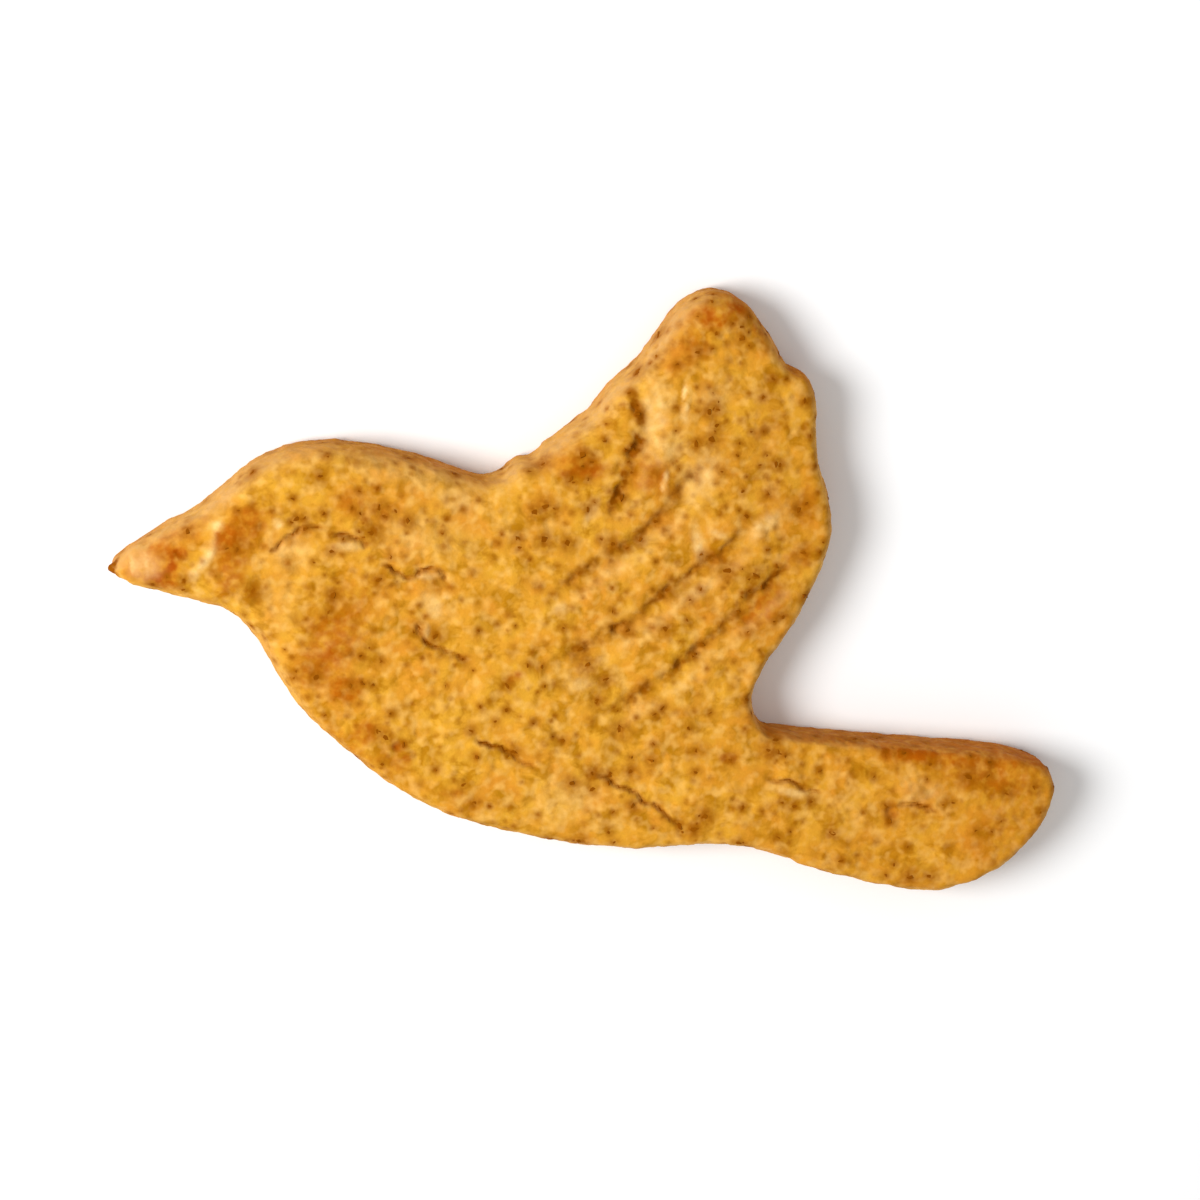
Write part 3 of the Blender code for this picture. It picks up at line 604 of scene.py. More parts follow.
def patch_cover(points, patches):
    """How strongly soft ragged patches cover each point."""
    cover = np.zeros(len(points))
    for x, y, half_length, half_width, heading, strength in patches:
        along, across = along_and_across(points, (x, y), heading)
        away = (along / half_length) ** 2 + (across / half_width) ** 2
        near = away < 5.0
        middle = np.exp(-away[near] ** PATCH_EDGE)
        ragged = clamped(middle * wavering(points[near], *PATCH_RAGGED))
        cover[near] = np.maximum(cover[near], strength * ragged)
    return cover


def spot_relief(points):
    """Height of the broken-out pits and of the standing flakes."""
    relief = np.zeros(len(points))
    for x, y, radius, depth in PITS:
        away = np.linalg.norm(points - (x, y), axis=1) / radius
        relief -= depth * clamped(1.0 - away ** 2)
    for x, y, length, width, heading, height in FLAKES:
        along, across = along_and_across(points, (x, y), heading)
        away = (2.0 * along / length) ** 2 + (2.0 * across / width) ** 2
        relief += height * clamped(1.5 - away)
    return relief


def edge_width(points):
    """How far in the rounded edge reaches at each place."""
    towards = (points @ SLUMP_SIDE - SLUMP_START) / (SLUMP_FULL - SLUMP_START)
    return EDGE_ROUND + EDGE_SLUMP * eased(towards)


def edge_inset(rise):
    """How far in the rounded edge has come when it has climbed this share of its height."""
    return 1.0 - (1.0 - rise ** ROUND_POWER) ** (1.0 / ROUND_POWER)


def edge_rise(depth, width):
    """Share of its height that the rounded edge has climbed at this distance from the side."""
    left_over = clamped(1.0 - depth / width)
    return (1.0 - left_over ** ROUND_POWER) ** (1.0 / ROUND_POWER)


def even_rises(last_rise, width, height, step):
    """Rises that cut the rounded profile into steps of equal length."""
    rises = np.linspace(0.0, last_rise, 400) ** 0.5 * last_rise ** 0.5
    path = np.column_stack((edge_inset(rises) * width, rises * height))
    travelled = np.concatenate(([0.0], np.cumsum(np.linalg.norm(np.diff(path, axis=0), axis=1))))
    count = max(2, round(travelled[-1] / step))
    return np.interp(np.linspace(0.0, travelled[-1], count + 1), travelled, rises)


def top_heights(points, depth, scores, cracks):
    """Height of the top over the plan, with the edge rounded down to the waist."""
    level = THICKNESS * (1.0 - CROWN_RISE * np.exp(-depth / CROWN_REACH)) + swell(points)
    from_tip = clamped((points[:, 0] - BEAK_TOP[0][0]) / BEAK_REACH)
    level *= 1.0 - BEAK_THINNING * (1.0 - from_tip) ** 2
    settled = clamped((depth - RELIEF_START) / (RELIEF_FULL - RELIEF_START))
    level += settled * (score_relief(points, scores)[0] + crack_relief(points, cracks)[0])
    level += settled * spot_relief(points)
    return WAIST_HEIGHT + (level - WAIST_HEIGHT) * edge_rise(depth, edge_width(points))


def narrow_ends(outline, coarse):
    """Share of a full inset that each outline point can move in without crossing others."""
    reach = RIM_SHARE * edge_width(outline)
    moved = outline + inward_normals(outline) * reach[:, None]
    share = clamped(depth_inside(moved, coarse) / reach) ** 3
    # The share is evened over the 20 points to each side
    beside = 20
    spread = np.concatenate((share[-beside:], share, share[:beside]))
    window = np.ones(2 * beside + 1) / (2 * beside + 1)
    return np.minimum(share, np.convolve(spread, window, mode="valid"))


def hexagon_grid(step, low, high):
    """Points of a triangular grid over a box."""
    row_step = step * math.sqrt(0.75)
    rows = np.arange(math.ceil((high[1] - low[1]) / row_step) + 1)
    columns = np.arange(math.ceil((high[0] - low[0]) / step) + 1)
    x, y = np.meshgrid(low[0] + columns * step, low[1] + rows * row_step)
    x[1::2] += step / 2.0
    return np.column_stack((x.reshape(-1), y.reshape(-1)))


def fill_plan(boundary, inner):
    """Triangles that fill a boundary and use the inner points, as indices into both."""
    flat = [Vector(point) for point in np.vstack((boundary, inner))]
    result = geometry.delaunay_2d_cdt(flat, [], [list(range(len(boundary)))], 1, 1e-5)
    faces, originals = result[2], result[3]
    return [[originals[corner][0] for corner in face] for face in faces]


def inside_points(step, boundary, clearance):
    """Grid points inside a closed boundary, at least the clearance from it."""
    coarse = boundary[::3]
    grid = hexagon_grid(step, boundary.min(axis=0), boundary.max(axis=0))
    return grid[depth_inside(grid, coarse) > clearance]


def score_lines():
    """The scored feathers as fine wandering lines."""
    return [wandering(line, SCORE_WANDER, SCORE_WAVE, 0.3) for line in WING_SCORES]


def crack_lines():
    """The oven cracks as fine wandering lines."""
    return [wandering(line, CRACK_WANDER, CRACK_WAVE, 0.2) for line in CRACKS]


def crust_mesh(shape):
    """Vertices in millimetres and faces of the crust, before its fine relief."""
    step = shape.mesh_step / MM
    outline = resample(smooth_curve(OUTLINE, closed=True), step, True)
    coarse = outline[::3]
    scores = score_lines()
    cracks = crack_lines()
    inwards = inward_normals(outline)
    room = narrow_ends(outline, coarse)[:, None]
    count = len(outline)

    rings = []
    for rise in even_rises(1.0, FOOT_INSET, WAIST_HEIGHT, step)[::-1]:
        plan = outline + inwards * room * (FOOT_INSET * edge_inset(rise))
        rings.append(np.column_stack((plan, np.full(count, WAIST_HEIGHT * (1.0 - rise)))))
    widths = edge_width(outline)[:, None]
    last_rise = float(edge_rise(RIM_SHARE, 1.0))
    for rise in even_rises(last_rise, widths.mean(), THICKNESS - WAIST_HEIGHT, step)[1:]:
        inset = room * widths * edge_inset(rise)
        plan = outline + inwards * inset
        level = top_heights(plan, inset[:, 0], scores, cracks)
        rings.append(np.column_stack((plan, level)))

    foot = rings[0][:, :2]
    rim = rings[-1][:, :2]
    inner = inside_points(step, rim, 0.7 * step)
    inner_level = top_heights(inner, depth_inside(inner, coarse), scores, cracks)
    under = inside_points(1.7 * step, foot, step)
    vertices = np.vstack(rings + [np.column_stack((inner, inner_level)),
                                  np.column_stack((under, np.zeros(len(under))))])

    faces = []
    for ring in range(len(rings) - 1):
        low = ring * count
        high = low + count
        faces += [(low + i, low + (i + 1) % count, high + (i + 1) % count, high + i)
                  for i in range(count)]
    top_start = (len(rings) - 1) * count
    inner_start = len(rings) * count
    under_start = inner_start + len(inner)
    for face in fill_plan(rim, inner):
        faces.append(tuple(top_start + i if i < count else inner_start + i - count for i in face))
    for face in fill_plan(foot, under):
        faces.append(tuple(i if i < count else under_start + i - count for i in face))
    return vertices, faces


def crumb_relief(points, torn, shape):
    """Height of the crumb at each point: lumps, grain, steam craters, lifted scales, and
    coarser crumb where the crust was torn."""
    lump = shape.lump_height / MM
    grain = shape.grain_height / MM
    crater = shape.crater_depth / MM
    heights = np.zeros(len(points))
    for index, point in enumerate(points):
        spot = Vector(point)
        height = lump * noise.noise(spot / LUMP_WIDTH)
        # Torn crumb is up to three times as coarse
        grainy = noise.fractal(spot / GRAIN_WIDTH, 0.9, 2.1, 3)
        height += grain * (1.0 + 2.0 * torn[index]) * grainy
        # Scales lift, and craters open, where a broad noise runs high
        scale = noise.noise(spot / SCALE_WIDTH + Vector((7.0, 2.0, 5.0)))
        height += 0.4 * lump * min(max((scale - 0.12) / 0.14, 0.0), 1.0)
        away = noise.voronoi(spot / CRATER_SPACING)[0][0] / CRATER_RADIUS
        if away < 1.0 and noise.noise(spot / CRATER_FIELD) > -0.05:
            height -= crater * (1.0 - away ** 2)
        heights[index] = height
    return heights


def vertex_values(mesh, name):
    """The positions or normals of the mesh's vertices."""
    values = np.empty(len(mesh.vertices) * 3)
    mesh.vertices.foreach_get(name, values)
    return values.reshape(-1, 3)


def store_values(mesh, name, values):
    """Keep one number for each vertex, for the material to read."""
    layer = mesh.attributes.new(name, "FLOAT", "POINT")
    layer.data.foreach_set("value", values.astype(np.float32))


def relieve_crust(mesh, shape):
    """The crust's places with the crumb raised along the normals and the underside kept flat."""
    places = vertex_values(mesh, "co")
    normals = vertex_values(mesh, "normal")
    torn = score_relief(places[:, :2], score_lines())[1] * (normals[:, 2] > 0.5)
    relief = crumb_relief(places, torn, shape)
    underside = places[:, 2] < 0.02
    places += normals * np.where(underside, np.minimum(relief, 0.0), relief)[:, None]
    places[:, 2] = np.maximum(places[:, 2], 0.0)
    return places


def nub_share(places, radius):
    """How much each point belongs to the burnt nub on the beak's tip."""
    away = np.linalg.norm(places[:, 1:] - NUB_PLACE[1:], axis=1) / radius
    return np.exp(-away ** 4) * (places[:, 0] < NUB_PLACE[0] + 1.5 * NUB_LENGTH)


def draw_nub(places):
    """The places with the beak's tip set back around the nub, which stays where it is."""
    near_tip = clamped(1.0 - (places[:, 0] - NUB_PLACE[0]) / (4.0 * NUB_LENGTH))
    set_back = places.copy()
    set_back[:, 0] += NUB_LENGTH * near_tip * (1.0 - nub_share(places, NUB_RADIUS))
    return set_back


def fit_to_solid(places):
    """The drawn crust brought to the length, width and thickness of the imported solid."""
    low, high = places.min(axis=0), places.max(axis=0)
    fitted = places.copy()
    fitted[:, :2] -= (low[:2] + high[:2]) / 2.0
    fitted[:, :2] *= np.array((LENGTH, WIDTH)) / (high[:2] - low[:2])
    fitted[:, :2] += (CAD_LOW[:2] + CAD_HIGH[:2]) / 2.0
    stretch = (THICKNESS - WAIST_HEIGHT) / (high[2] - WAIST_HEIGHT)
    above_waist = fitted[:, 2] > WAIST_HEIGHT
    fitted[above_waist, 2] = WAIST_HEIGHT + (fitted[above_waist, 2] - WAIST_HEIGHT) * stretch
    return fitted


def baking_values(places, normals):
    """How toasted, ruddy and pale each point is, with its painted rim sheen, painted light and shade,
    and the burnt nub.
    """
    plan = places[:, :2]
    across = normals[:, :2]
    up = normals[:, 2]
    on_top = clamped((up - 0.35) / 0.45)
    upward = clamped((up - 0.1) / 0.4)
    off_wall = clamped(up / 0.25)
    side = clamped(1.0 - np.abs(up)) ** 0.5 * (1.0 - on_top)
    to_wing_side = clamped(across @ WING_SIDE)
    to_lamp = clamped(across @ LAMP_SIDE)
    from_lamp = clamped(across @ AWAY_FROM_LAMP)
    to_tray_end = clamped((plan[:, 0] - HOT_START) / (HOT_FULL - HOT_START))
    near_tray = np.exp(-(places[:, 2] / TRAY_REACH) ** 2)

    # Walls facing the wing's side are painted browner, partly browning and partly painted shade, and
    # less so where
    #     they turn towards the lamp; the side browned near the tray, and the top in patches
    browning = (WING_SIDE_DARKENING + END_BROWNING * to_tray_end) * to_wing_side * (1.0 - 0.9 * to_lamp)
    toasted = np.maximum(side * (WALL_BROWNING + browning),
                         TRAY_BROWNING * near_tray * (1.0 - on_top))
    toasted = np.maximum(toasted, upward * patch_cover(plan, TOASTED))
    toasted += upward * HOT_TOASTING * to_tray_end * (1.0 - toasted)
    ruddy = np.maximum(upward * patch_cover(plan, RUDDY), TRAY_REDDENING * near_tray * side)
    # Walls facing the wing's side at the tail's end are painted redder too, partly as painted shade
    ruddy = np.maximum(ruddy, WING_SIDE_REDDENING * side * to_wing_side * to_tray_end ** 0.5)

    # Pale patches, and painted light: the scores' lower walls and the slopes away from the lamp are
    # painted paler
    _, scored, painted_wall_light = score_relief(plan, score_lines())
    pale = np.maximum(PATCH_PALE * upward * patch_cover(plan, PALE),
                      SCORE_PALE * on_top * painted_wall_light)
    pale = np.maximum(pale, clamped(1.5 - 1.6 * up) * (0.1 + 0.3 * off_wall) * from_lamp)

    # Painted sheen: a duller colour on the sloped rims facing the lamp, and on those facing the wing's
    # side away from the tail's end
    sloping = clamped(1.75 - 1.8 * up) * (0.7 + 0.3 * off_wall)
    from_tray_end = (1.0 - to_tray_end) ** 3
    rim_sheen = sloping * np.maximum(LAMP_SIDE_SHEEN * to_lamp, WING_SIDE_SHEEN * to_wing_side * from_tray_end)

    # Painted shade in the scores and cracks, and the burnt nub's own dark colour
    cracked = crack_relief(plan, crack_lines())[1]
    painted_shade_and_burn = on_top * clamped(np.maximum(SCORE_DARK * scored, CRACK_DARK * cracked))
    painted_shade_and_burn = np.maximum(painted_shade_and_burn, NUB_DARK * nub_share(places, 1.8 * NUB_RADIUS))
    return {"toasted": toasted, "ruddy": ruddy, "rim_sheen": rim_sheen, "pale": pale, "painted_shade_and_burn": painted_shade_and_burn}


def add_node(tree, kind, settings=None, links=None):
    """Add a node. Settings are its own properties or its inputs' values, by name or number,
    and links join the outputs of other nodes to its inputs."""
    node = tree.nodes.new(kind)
    for name, value in (settings or {}).items():
        if isinstance(name, str) and hasattr(node, name):
            setattr(node, name, value)
        else:
            node.inputs[name].default_value = value
    for name, output in (links or {}).items():
        tree.links.new(output, node.inputs[name])
    return node


def opaque(colour):
    """A colour property with full opacity, as a node's colour input takes it."""
    return tuple(colour) + (1.0,)


def shortbread_material(colours):
    """Baked shortbread: butter dough rolled, cut and baked, with a dry and faintly greasy crust.

    The eye sees a matt golden crust with soft mottling as wide as the crumb's lumps, browner in
    patches and on the side, with painted shade on walls facing the wing's side, a painted sheen on
    sloped rims, painted light on slopes away from the lamp, painted light and shade in the scores
    and cracks, a fine grain, and stains where tea lies just below the surface.
    """
    material = bpy.data.materials.new("baked_shortbread")
    material.use_nodes = True
    tree = material.node_tree
    shader = tree.nodes["Principled BSDF"]

    place = add_node(tree, "ShaderNodeTexCoord")
    millimetres = add_node(tree, "ShaderNodeVectorMath",
                           {"operation": "SCALE", "Scale": 1.0 / MM},
                           {"Vector": place.outputs["Object"]}).outputs["Vector"]
    # Width in millimetres, detail, roughness and distortion: browning drifts over about 5 mm,
    # darker crumb lies in clumps of about 2.4 mm, butter shows in spots of about 1.1 mm, and
    # patches and stains fray over about 0.7 mm. The grain of flour and fine sugar, about
    # 0.15 mm, is drawn at 0.25 mm so that it shows
    patterns = {}
    for name, width, detail, roughness, distortion in (
            ("drift", 5.0, 3.0, 0.6, 0.0), ("clumps", 2.4, 3.0, 0.6, 0.4),
            ("spots", 1.1, 1.0, 0.5, 0.0), ("fray", 0.7, 1.0, 0.5, 0.0),
            ("grain", 0.25, 2.0, 0.6, 0.0)):
        pattern = add_node(tree, "ShaderNodeTexNoise",
                           {"Scale": 1.0 / width, "Detail": detail, "Roughness": roughness,
                            "Distortion": distortion}, {"Vector": millimetres})
        patterns[name] = pattern.outputs["Fac"]
    # The range of each pattern that counts, and the values that it is turned to
    shares = {}
    for name, pattern, low, high, becomes_low, becomes_high in (
            ("golden", "drift", 0.32, 0.6, 0.0, 1.0), ("amber", "clumps", 0.47, 0.65, 0.0, 1.0),
            ("butter", "spots", 0.46, 0.74, 0.0, 0.68), ("frayed", "fray", 0.34, 0.6, 0.72, 1.14),
            ("floured", "grain", 0.3, 0.7, 0.96, 1.04), ("dull", "clumps", 0.3, 0.7, 0.55, 0.75)):
        share = add_node(tree, "ShaderNodeMapRange",
                         {"From Min": low, "From Max": high, "To Min": becomes_low,
                          "To Max": becomes_high}, {"Value": patterns[pattern]})
        shares[name] = share.outputs["Result"]

    base = add_node(tree, "ShaderNodeMix",
                    {"data_type": "RGBA", MIX_A: opaque(colours.orange),
                     MIX_B: opaque(colours.golden)}, {0: shares["golden"]})
    layered = base.outputs[MIX_RESULT]
    for name, colour in (("amber", colours.amber), ("butter", colours.butter)):
        layer = add_node(tree, "ShaderNodeMix", {"data_type": "RGBA", MIX_B: opaque(colour)},
                         {0: shares[name], MIX_A: layered})
        layered = layer.outputs[MIX_RESULT]
    # Painted sheen on the sloped rims, browner and redder patches and walls, partly painted shade,
    #     pale patches and painted light, then tea, then painted shade in scores and cracks with the
    #     burnt nub
    for name, colour in (("rim_sheen", colours.rim_sheen), ("toasted", colours.toasted),
                         ("ruddy", colours.ruddy), ("pale", colours.cream),
                         ("steeped", colours.steeped), ("painted_shade_and_burn", colours.shade)):
        cover = add_node(tree, "ShaderNodeAttribute", {"attribute_name": name})
        share = add_node(tree, "ShaderNodeMath", {"operation": "MULTIPLY", "use_clamp": True},
                         {0: cover.outputs["Fac"], 1: shares["frayed"]})
        layer = add_node(tree, "ShaderNodeMix", {"data_type": "RGBA", MIX_B: opaque(colour)},
                         {0: share.outputs["Value"], MIX_A: layered})
        layered = layer.outputs[MIX_RESULT]

    crust = add_node(tree, "ShaderNodeVectorMath", {"operation": "SCALE"},
                     {"Vector": layered, "Scale": shares["floured"]})
    bump = add_node(tree, "ShaderNodeBump", {"Strength": 0.4, "Distance": 0.06 * MM},
                    {"Height": patterns["grain"]})
    tree.links.new(crust.outputs["Vector"], shader.inputs["Base Color"])
    tree.links.new(shares["dull"], shader.inputs["Roughness"])
    tree.links.new(bump.outputs["Normal"], shader.inputs["Normal"])
    # Butter has an index of about 1.45, and the open crumb hides most of its shine
    shader.inputs["IOR"].default_value = 1.45
    shader.inputs["Specular IOR Level"].default_value = 0.03
    return material


def tea_material(colours):
    """Dried black tea, cut fine: dull dark brown shards, some a little paler than others."""
    material = bpy.data.materials.new("cut_tea_leaf")
    material.use_nodes = True
    tree = material.node_tree
    shader = tree.nodes["Principled BSDF"]
    shade = add_node(tree, "ShaderNodeAttribute", {"attribute_name": "shade"})
    leaf = add_node(tree, "ShaderNodeMix",
                    {"data_type": "RGBA", MIX_A: opaque(colours.tea),
                     MIX_B: opaque(colours.steeped)},
                    {0: shade.outputs["Fac"]})
    place = add_node(tree, "ShaderNodeTexCoord")
    # Leaf fibres are about 0.1 mm apart, and only a close view shows them
    fibre = add_node(tree, "ShaderNodeTexNoise", {"Scale": 1.0 / (0.1 * MM), "Detail": 1.0},
                     {"Vector": place.outputs["Object"]})
    bump = add_node(tree, "ShaderNodeBump", {"Strength": 0.4, "Distance": 0.03 * MM},
                    {"Height": fibre.outputs["Fac"]})
    tree.links.new(leaf.outputs[MIX_RESULT], shader.inputs["Base Color"])
    tree.links.new(bump.outputs["Normal"], shader.inputs["Normal"])
    shader.inputs["Roughness"].default_value = 0.7
    shader.inputs["Specular IOR Level"].default_value = 0.03
    return material


def table_material(stage):
    """White painted board: smooth, matt and very pale."""
    material = bpy.data.materials.new("white_painted_board")
    material.use_nodes = True
    shader = material.node_tree.nodes["Principled BSDF"]
    shader.inputs["Base Color"].default_value = opaque(stage.table_colour)
    shader.inputs["Roughness"].default_value = 0.85
    shader.inputs["Specular IOR Level"].default_value = 0.2
    return material


def mesh_object(name, vertices, faces, material):
    """A smooth-shaded object, added to the scene."""
    mesh = bpy.data.meshes.new(name)
    mesh.from_pydata(vertices.tolist(), [], faces)
    mesh.shade_smooth()
    mesh.materials.append(material)
    piece = bpy.data.objects.new(name, mesh)
    bpy.context.scene.collection.objects.link(piece)
    return piece


def turn_outward(mesh):
    """Turn the faces of a closed mesh outward."""
    working = bmesh.new()
    working.from_mesh(mesh)
    bmesh.ops.recalc_face_normals(working, faces=working.faces)
    working.to_mesh(mesh)
    working.free()


def tea_thickness(points):
    """How thickly tea lies at each place, about one on average."""
    plan = points[:, :2]
    share = np.ones(len(points))
    for x, y, radius, extra in TEA_DRIFTS:
        share += extra * np.exp(-np.sum((plan - (x, y)) ** 2, axis=1) / radius ** 2)
    on_top = points[:, 2] >= TEA_TOP
    share += TEA_IN_SCORES * score_relief(plan, score_lines())[1] * on_top
    share[~on_top] *= 0.5
    return share * wavering(plan, *TEA_WAVER)


def strewn_places(mesh, count, rng):
    """Random places on a mesh with their normals, thicker where more tea lies."""
    mesh.calc_loop_triangles()
    corners = np.empty(len(mesh.loop_triangles) * 3, dtype=np.int64)
    mesh.loop_triangles.foreach_get("vertices", corners)
    corners = corners.reshape(-1, 3)
    places = vertex_values(mesh, "co") / MM
    normals = vertex_values(mesh, "normal")
    a, b, c = (places[corners[:, index]] for index in range(3))
    areas = np.linalg.norm(np.cross(b - a, c - a), axis=1)
    chosen = rng.choice(len(corners), 2 * count, p=areas / areas.sum())
    kept = rng.random(2 * count) * 2.0 < tea_thickness(places[corners[chosen, 0]])
    chosen = chosen[kept]
    u, v = rng.random((2, len(chosen)))
    flipped = u + v > 1.0
    u[flipped], v[flipped] = 1.0 - u[flipped], 1.0 - v[flipped]
    w = 1.0 - u - v
    spots = a[chosen] * w[:, None] + b[chosen] * u[:, None] + c[chosen] * v[:, None]
    return spots, unit_rows(normals[corners[chosen, 0]])


def vertex_tree(mesh):
    """A search tree over the mesh's vertices, in millimetres."""
    places = vertex_values(mesh, "co") / MM
    tree = kdtree.KDTree(len(places))
    for index, place in enumerate(places):
        tree.insert(place, index)
    tree.balance()
    return tree


def stained_values(tree, count, spots, reaches, strengths):
    """How strongly the tea at these spots has stained each vertex of the crust."""
    stained = np.zeros(count)
    for spot, reach, strength in zip(spots, reaches, strengths):
        for _, index, distance in tree.find_range(spot, 2.0 * reach):
            stain = strength * math.exp(-(distance / reach) ** 2)
            stained[index] = max(stained[index], stain)
    return stained


def clump_places(mesh, tree):
    """Where the largest clumps of tea lie on the crust, and the crust's normals there."""
    found = [tree.find((x, y, THICKNESS))[:2] for x, y, _, _ in TEA_CLUMPS]
    normals = unit_rows(vertex_values(mesh, "normal"))[[index for _, index in found]]
    return np.array([tuple(place) for place, _ in found]), normals


def shard_mesh(spots, normals, lengths, rng):
    """Many-sided shards that lie roughly along the surface, half sunk in it."""
    count = len(spots)
    sides = SHARD_SIDES
    lean = unit_rows(normals + rng.normal(0.0, 0.1, (count, 3)))
    along = unit_rows(np.cross(lean, rng.normal(0.0, 1.0, (count, 3))))
    across = np.cross(lean, along)
    angles = np.arange(sides) * (2.0 * math.pi / sides) + rng.normal(0.0, 0.16, (count, sides))
    radii = rng.uniform(0.55, 1.1, (count, sides)) / 2.0
    widths = lengths * rng.uniform(0.4, 0.75, count)
    thickness = lengths * rng.uniform(0.22, 0.4, count)
    x = np.cos(angles) * radii * lengths[:, None]
    y = np.sin(angles) * radii * widths[:, None]
    middles = spots - lean * (thickness * rng.uniform(0.4, 0.52, count))[:, None]
    layers = []
    for height, taper in ((0.5, 0.8), (-0.5, 1.0)):
        layers.append(middles[:, None, :]
                      + x[:, :, None] * along[:, None, :] * taper
                      + y[:, :, None] * across[:, None, :] * taper
                      + (height * thickness)[:, None, None] * lean[:, None, :])
    vertices = np.concatenate(layers, axis=1).reshape(-1, 3)
    faces = []
    for shard in range(count):
        top = [shard * 2 * sides + side for side in range(sides)]
        bottom = [corner + sides for corner in top]
        faces.append(tuple(top))
        faces.append(tuple(reversed(bottom)))
        for side in range(sides):
            after = (side + 1) % sides
            faces.append((top[after], top[side], bottom[side], bottom[after]))
    return vertices, faces


class COOKIE_OT_add_crust(Operator):
    """Add the baked crust, with its scored feathers, cracks and crumb"""

    bl_idname = "cookie.add_crust"
    bl_label = "Add Crust"

    def execute(self, context):
        shape = context.scene.cookie_shape
        vertices, faces = crust_mesh(shape)
        material = shortbread_material(context.scene.cookie_colours)
        crust = mesh_object("shortbread", vertices, faces, material)
        mesh = crust.data
        turn_outward(mesh)
        # The mesh stays in millimetres until its relief and colours are drawn
        places = relieve_crust(mesh, shape)
        for name, values in baking_values(places, vertex_values(mesh, "normal")).items():
            store_values(mesh, name, values)
        places = fit_to_solid(draw_nub(places)) * MM
        mesh.vertices.foreach_set("co", places.reshape(-1))
        mesh.update()
        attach(crust, "root")
        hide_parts(COOKIE_NODE)
        return {"FINISHED"}


class COOKIE_OT_add_tea_flecks(Operator):
    """Add the flecks of cut tea leaf that show all over the crust"""

    bl_idname = "cookie.add_tea_flecks"
    bl_label = "Add Tea Flecks"

    def execute(self, context):
        shape = context.scene.cookie_shape
        crust = bpy.data.objects.get("shortbread")
        if crust is None:
            raise RuntimeError("the crust has to be added before its tea flecks")
        rng = np.random.default_rng(shape.seed)
        mesh = crust.data
        area_cm2 = sum(face.area for face in mesh.polygons) * 1e4
        tree = vertex_tree(mesh)
        clumps, clump_normals = clump_places(mesh, tree)
        clump_reaches, clump_strengths = np.array(TEA_CLUMPS)[:, 2:].T
        strong = clump_strengths > CLUMP_STRONG

        spots, normals = strewn_places(mesh, round(area_cm2 * shape.flecks_per_cm2), rng)
        spread = np.clip(rng.lognormal(-0.1, 0.35, len(spots)), 0.5, 1.7)
        lengths = np.concatenate((shape.fleck_length / MM * spread, 1.3 * clump_reaches[strong]))
        spots = np.vstack((spots, clumps[strong]))
        normals = np.vstack((normals, clump_normals[strong]))
        vertices, faces = shard_mesh(spots, normals, lengths, rng)
        vertices = np.clip(vertices, CAD_LOW, CAD_HIGH) * MM
        flecks = mesh_object("tea_flecks", vertices, faces,
                             tea_material(context.scene.cookie_colours))
        flecks.data.shade_flat()
        shades = rng.beta(1.2, 1.8, len(spots))
        store_values(flecks.data, "shade", np.repeat(shades, 2 * SHARD_SIDES))

        sunk, _ = strewn_places(mesh, round(area_cm2 * shape.stains_per_cm2), rng)
        reaches = np.concatenate((0.95 * lengths, rng.uniform(*SUNK_REACHES, len(sunk)),
                                  1.15 * clump_reaches))
        strengths = np.concatenate((np.full(len(spots), FLECK_STAIN),
                                    rng.beta(1.5, 2.0, len(sunk)), clump_strengths))
        stained = stained_values(tree, len(mesh.vertices), np.vstack((spots, sunk, clumps)),
                                 reaches, strengths)
        store_values(mesh, "steeped", stained)
        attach(flecks, "root")
        return {"FINISHED"}


def direction(heading, elevation):
    """Unit vector that turns from +X towards +Y by the heading and rises by the elevation."""
    return Vector((math.cos(heading) * math.cos(elevation),
                   math.sin(heading) * math.cos(elevation), math.sin(elevation)))


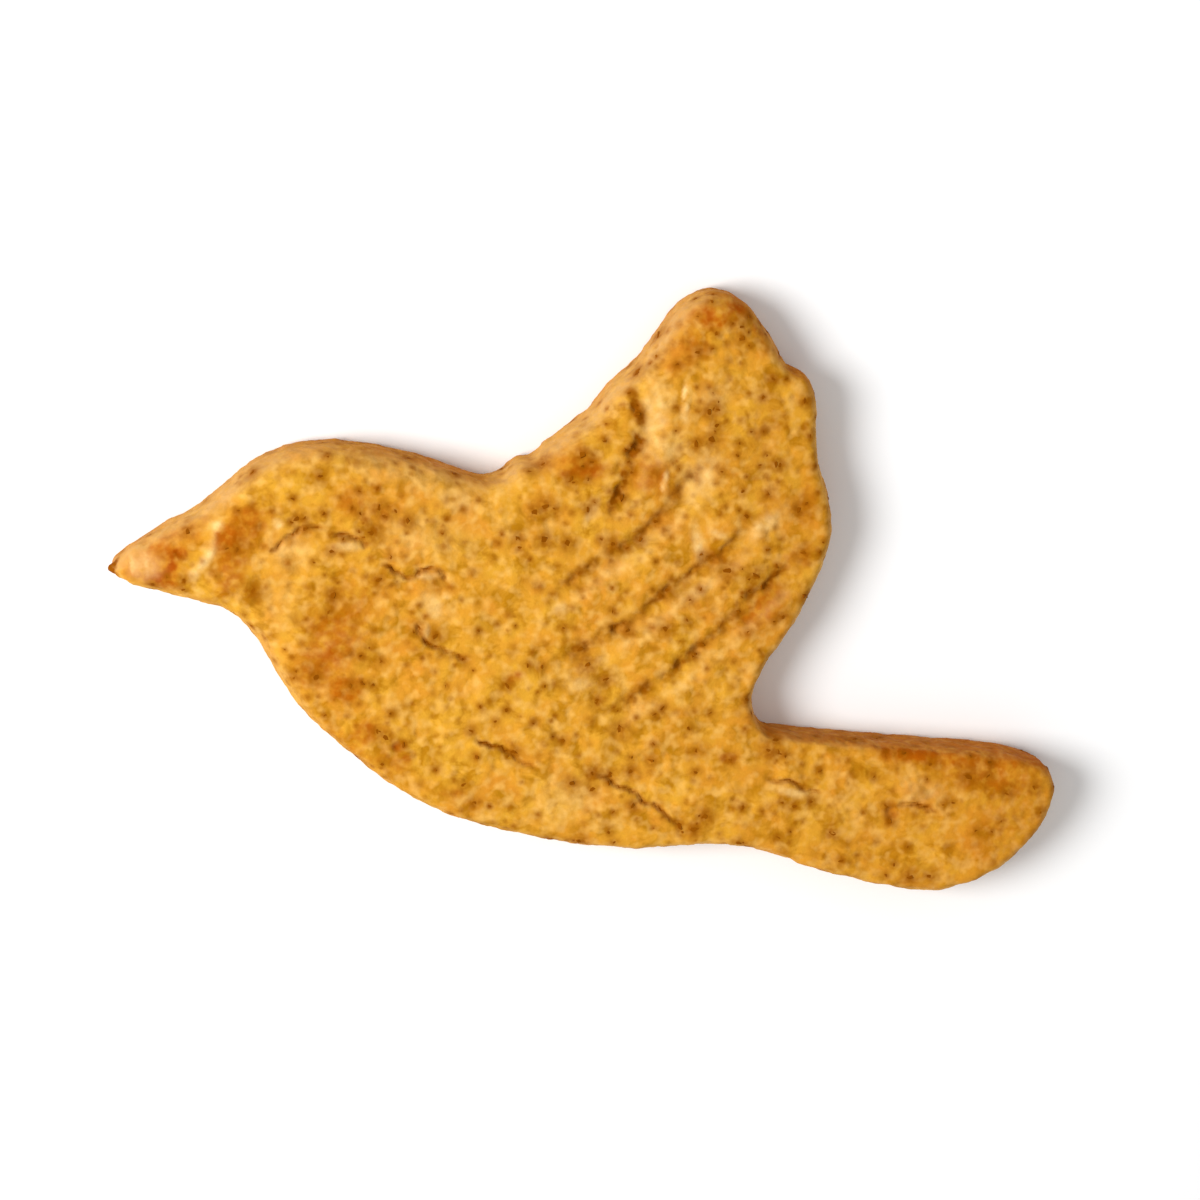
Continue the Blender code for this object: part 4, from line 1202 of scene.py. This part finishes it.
class COOKIE_OT_add_stage(Operator):
    """Add the pale table, the soft light and the camera"""

    bl_idname = "cookie.add_stage"
    bl_label = "Add Table, Light and Camera"

    def execute(self, context):
        scene = context.scene
        stage = scene.cookie_stage
        corners = TABLE_HALF * np.array([(-1, -1, 0), (1, -1, 0), (1, 1, 0), (-1, 1, 0)])
        table = mesh_object("table", corners, [(0, 1, 2, 3)], table_material(stage))
        table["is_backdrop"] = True

        world = scene.world or bpy.data.worlds.new("studio")
        scene.world = world
        world.use_nodes = True
        background = world.node_tree.nodes["Background"]
        background.inputs["Color"].default_value = (1.0, 1.0, 1.0, 1.0)
        background.inputs["Strength"].default_value = stage.sky_strength

        lamp = bpy.data.lights.new("key_light", "AREA")
        lamp.shape = "DISK"
        lamp.size = LAMP_SIZE
        lamp.energy = stage.key_power
        key = bpy.data.objects.new("key_light", lamp)
        scene.collection.objects.link(key)
        away = direction(LAMP_HEADING, LAMP_ELEVATION)
        key.location = away * LAMP_DISTANCE
        key.rotation_euler = away.to_track_quat("Z", "Y").to_euler()

        camera_data = bpy.data.cameras.new("camera")
        camera_data.lens = LENS
        camera_data.sensor_width = SENSOR_WIDTH
        camera = bpy.data.objects.new("camera", camera_data)
        scene.collection.objects.link(camera)
        lean = direction(stage.camera_heading, math.pi / 2.0 - stage.camera_tilt)
        camera.location = LOOK_AT + lean * (stage.view_width * LENS / SENSOR_WIDTH)
        camera.rotation_euler = Vector((0.0, 0.0, 1.0)).rotation_difference(lean).to_euler()
        scene.camera = camera
        scene.view_settings.view_transform = "Standard"
        return {"FINISHED"}


class COOKIE_PT_panel(Panel):
    """Sidebar panel with the cookie's sizes, colours and steps"""

    bl_idname = "COOKIE_PT_panel"
    bl_label = "Tea Shortbread Cookie"
    bl_space_type = "VIEW_3D"
    bl_region_type = "UI"
    bl_category = "Cookie"

    def draw(self, context):
        for group in (context.scene.cookie_shape, context.scene.cookie_colours,
                      context.scene.cookie_stage):
            box = self.layout.box()
            for name in group.__annotations__:
                box.prop(group, name)
        for step in STEPS:
            self.layout.operator(step.bl_idname)


STEPS = (COOKIE_OT_add_crust, COOKIE_OT_add_tea_flecks, COOKIE_OT_add_stage)
GROUPS = (CookieShape, CookieColours, CookieStage)


def register():
    for group in GROUPS:
        bpy.utils.register_class(group)
    bpy.types.Scene.cookie_shape = PointerProperty(type=CookieShape)
    bpy.types.Scene.cookie_colours = PointerProperty(type=CookieColours)
    bpy.types.Scene.cookie_stage = PointerProperty(type=CookieStage)
    for step in STEPS:
        bpy.utils.register_class(step)
    bpy.utils.register_class(COOKIE_PT_panel)


def unregister():
    bpy.utils.unregister_class(COOKIE_PT_panel)
    for step in reversed(STEPS):
        bpy.utils.unregister_class(step)
    del bpy.types.Scene.cookie_stage
    del bpy.types.Scene.cookie_colours
    del bpy.types.Scene.cookie_shape
    for group in reversed(GROUPS):
        bpy.utils.unregister_class(group)


def main():
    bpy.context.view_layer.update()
    register()
    bpy.ops.cookie.add_crust()
    bpy.ops.cookie.add_tea_flecks()
    bpy.ops.cookie.add_stage()


if __name__ == "__main__":
    main()
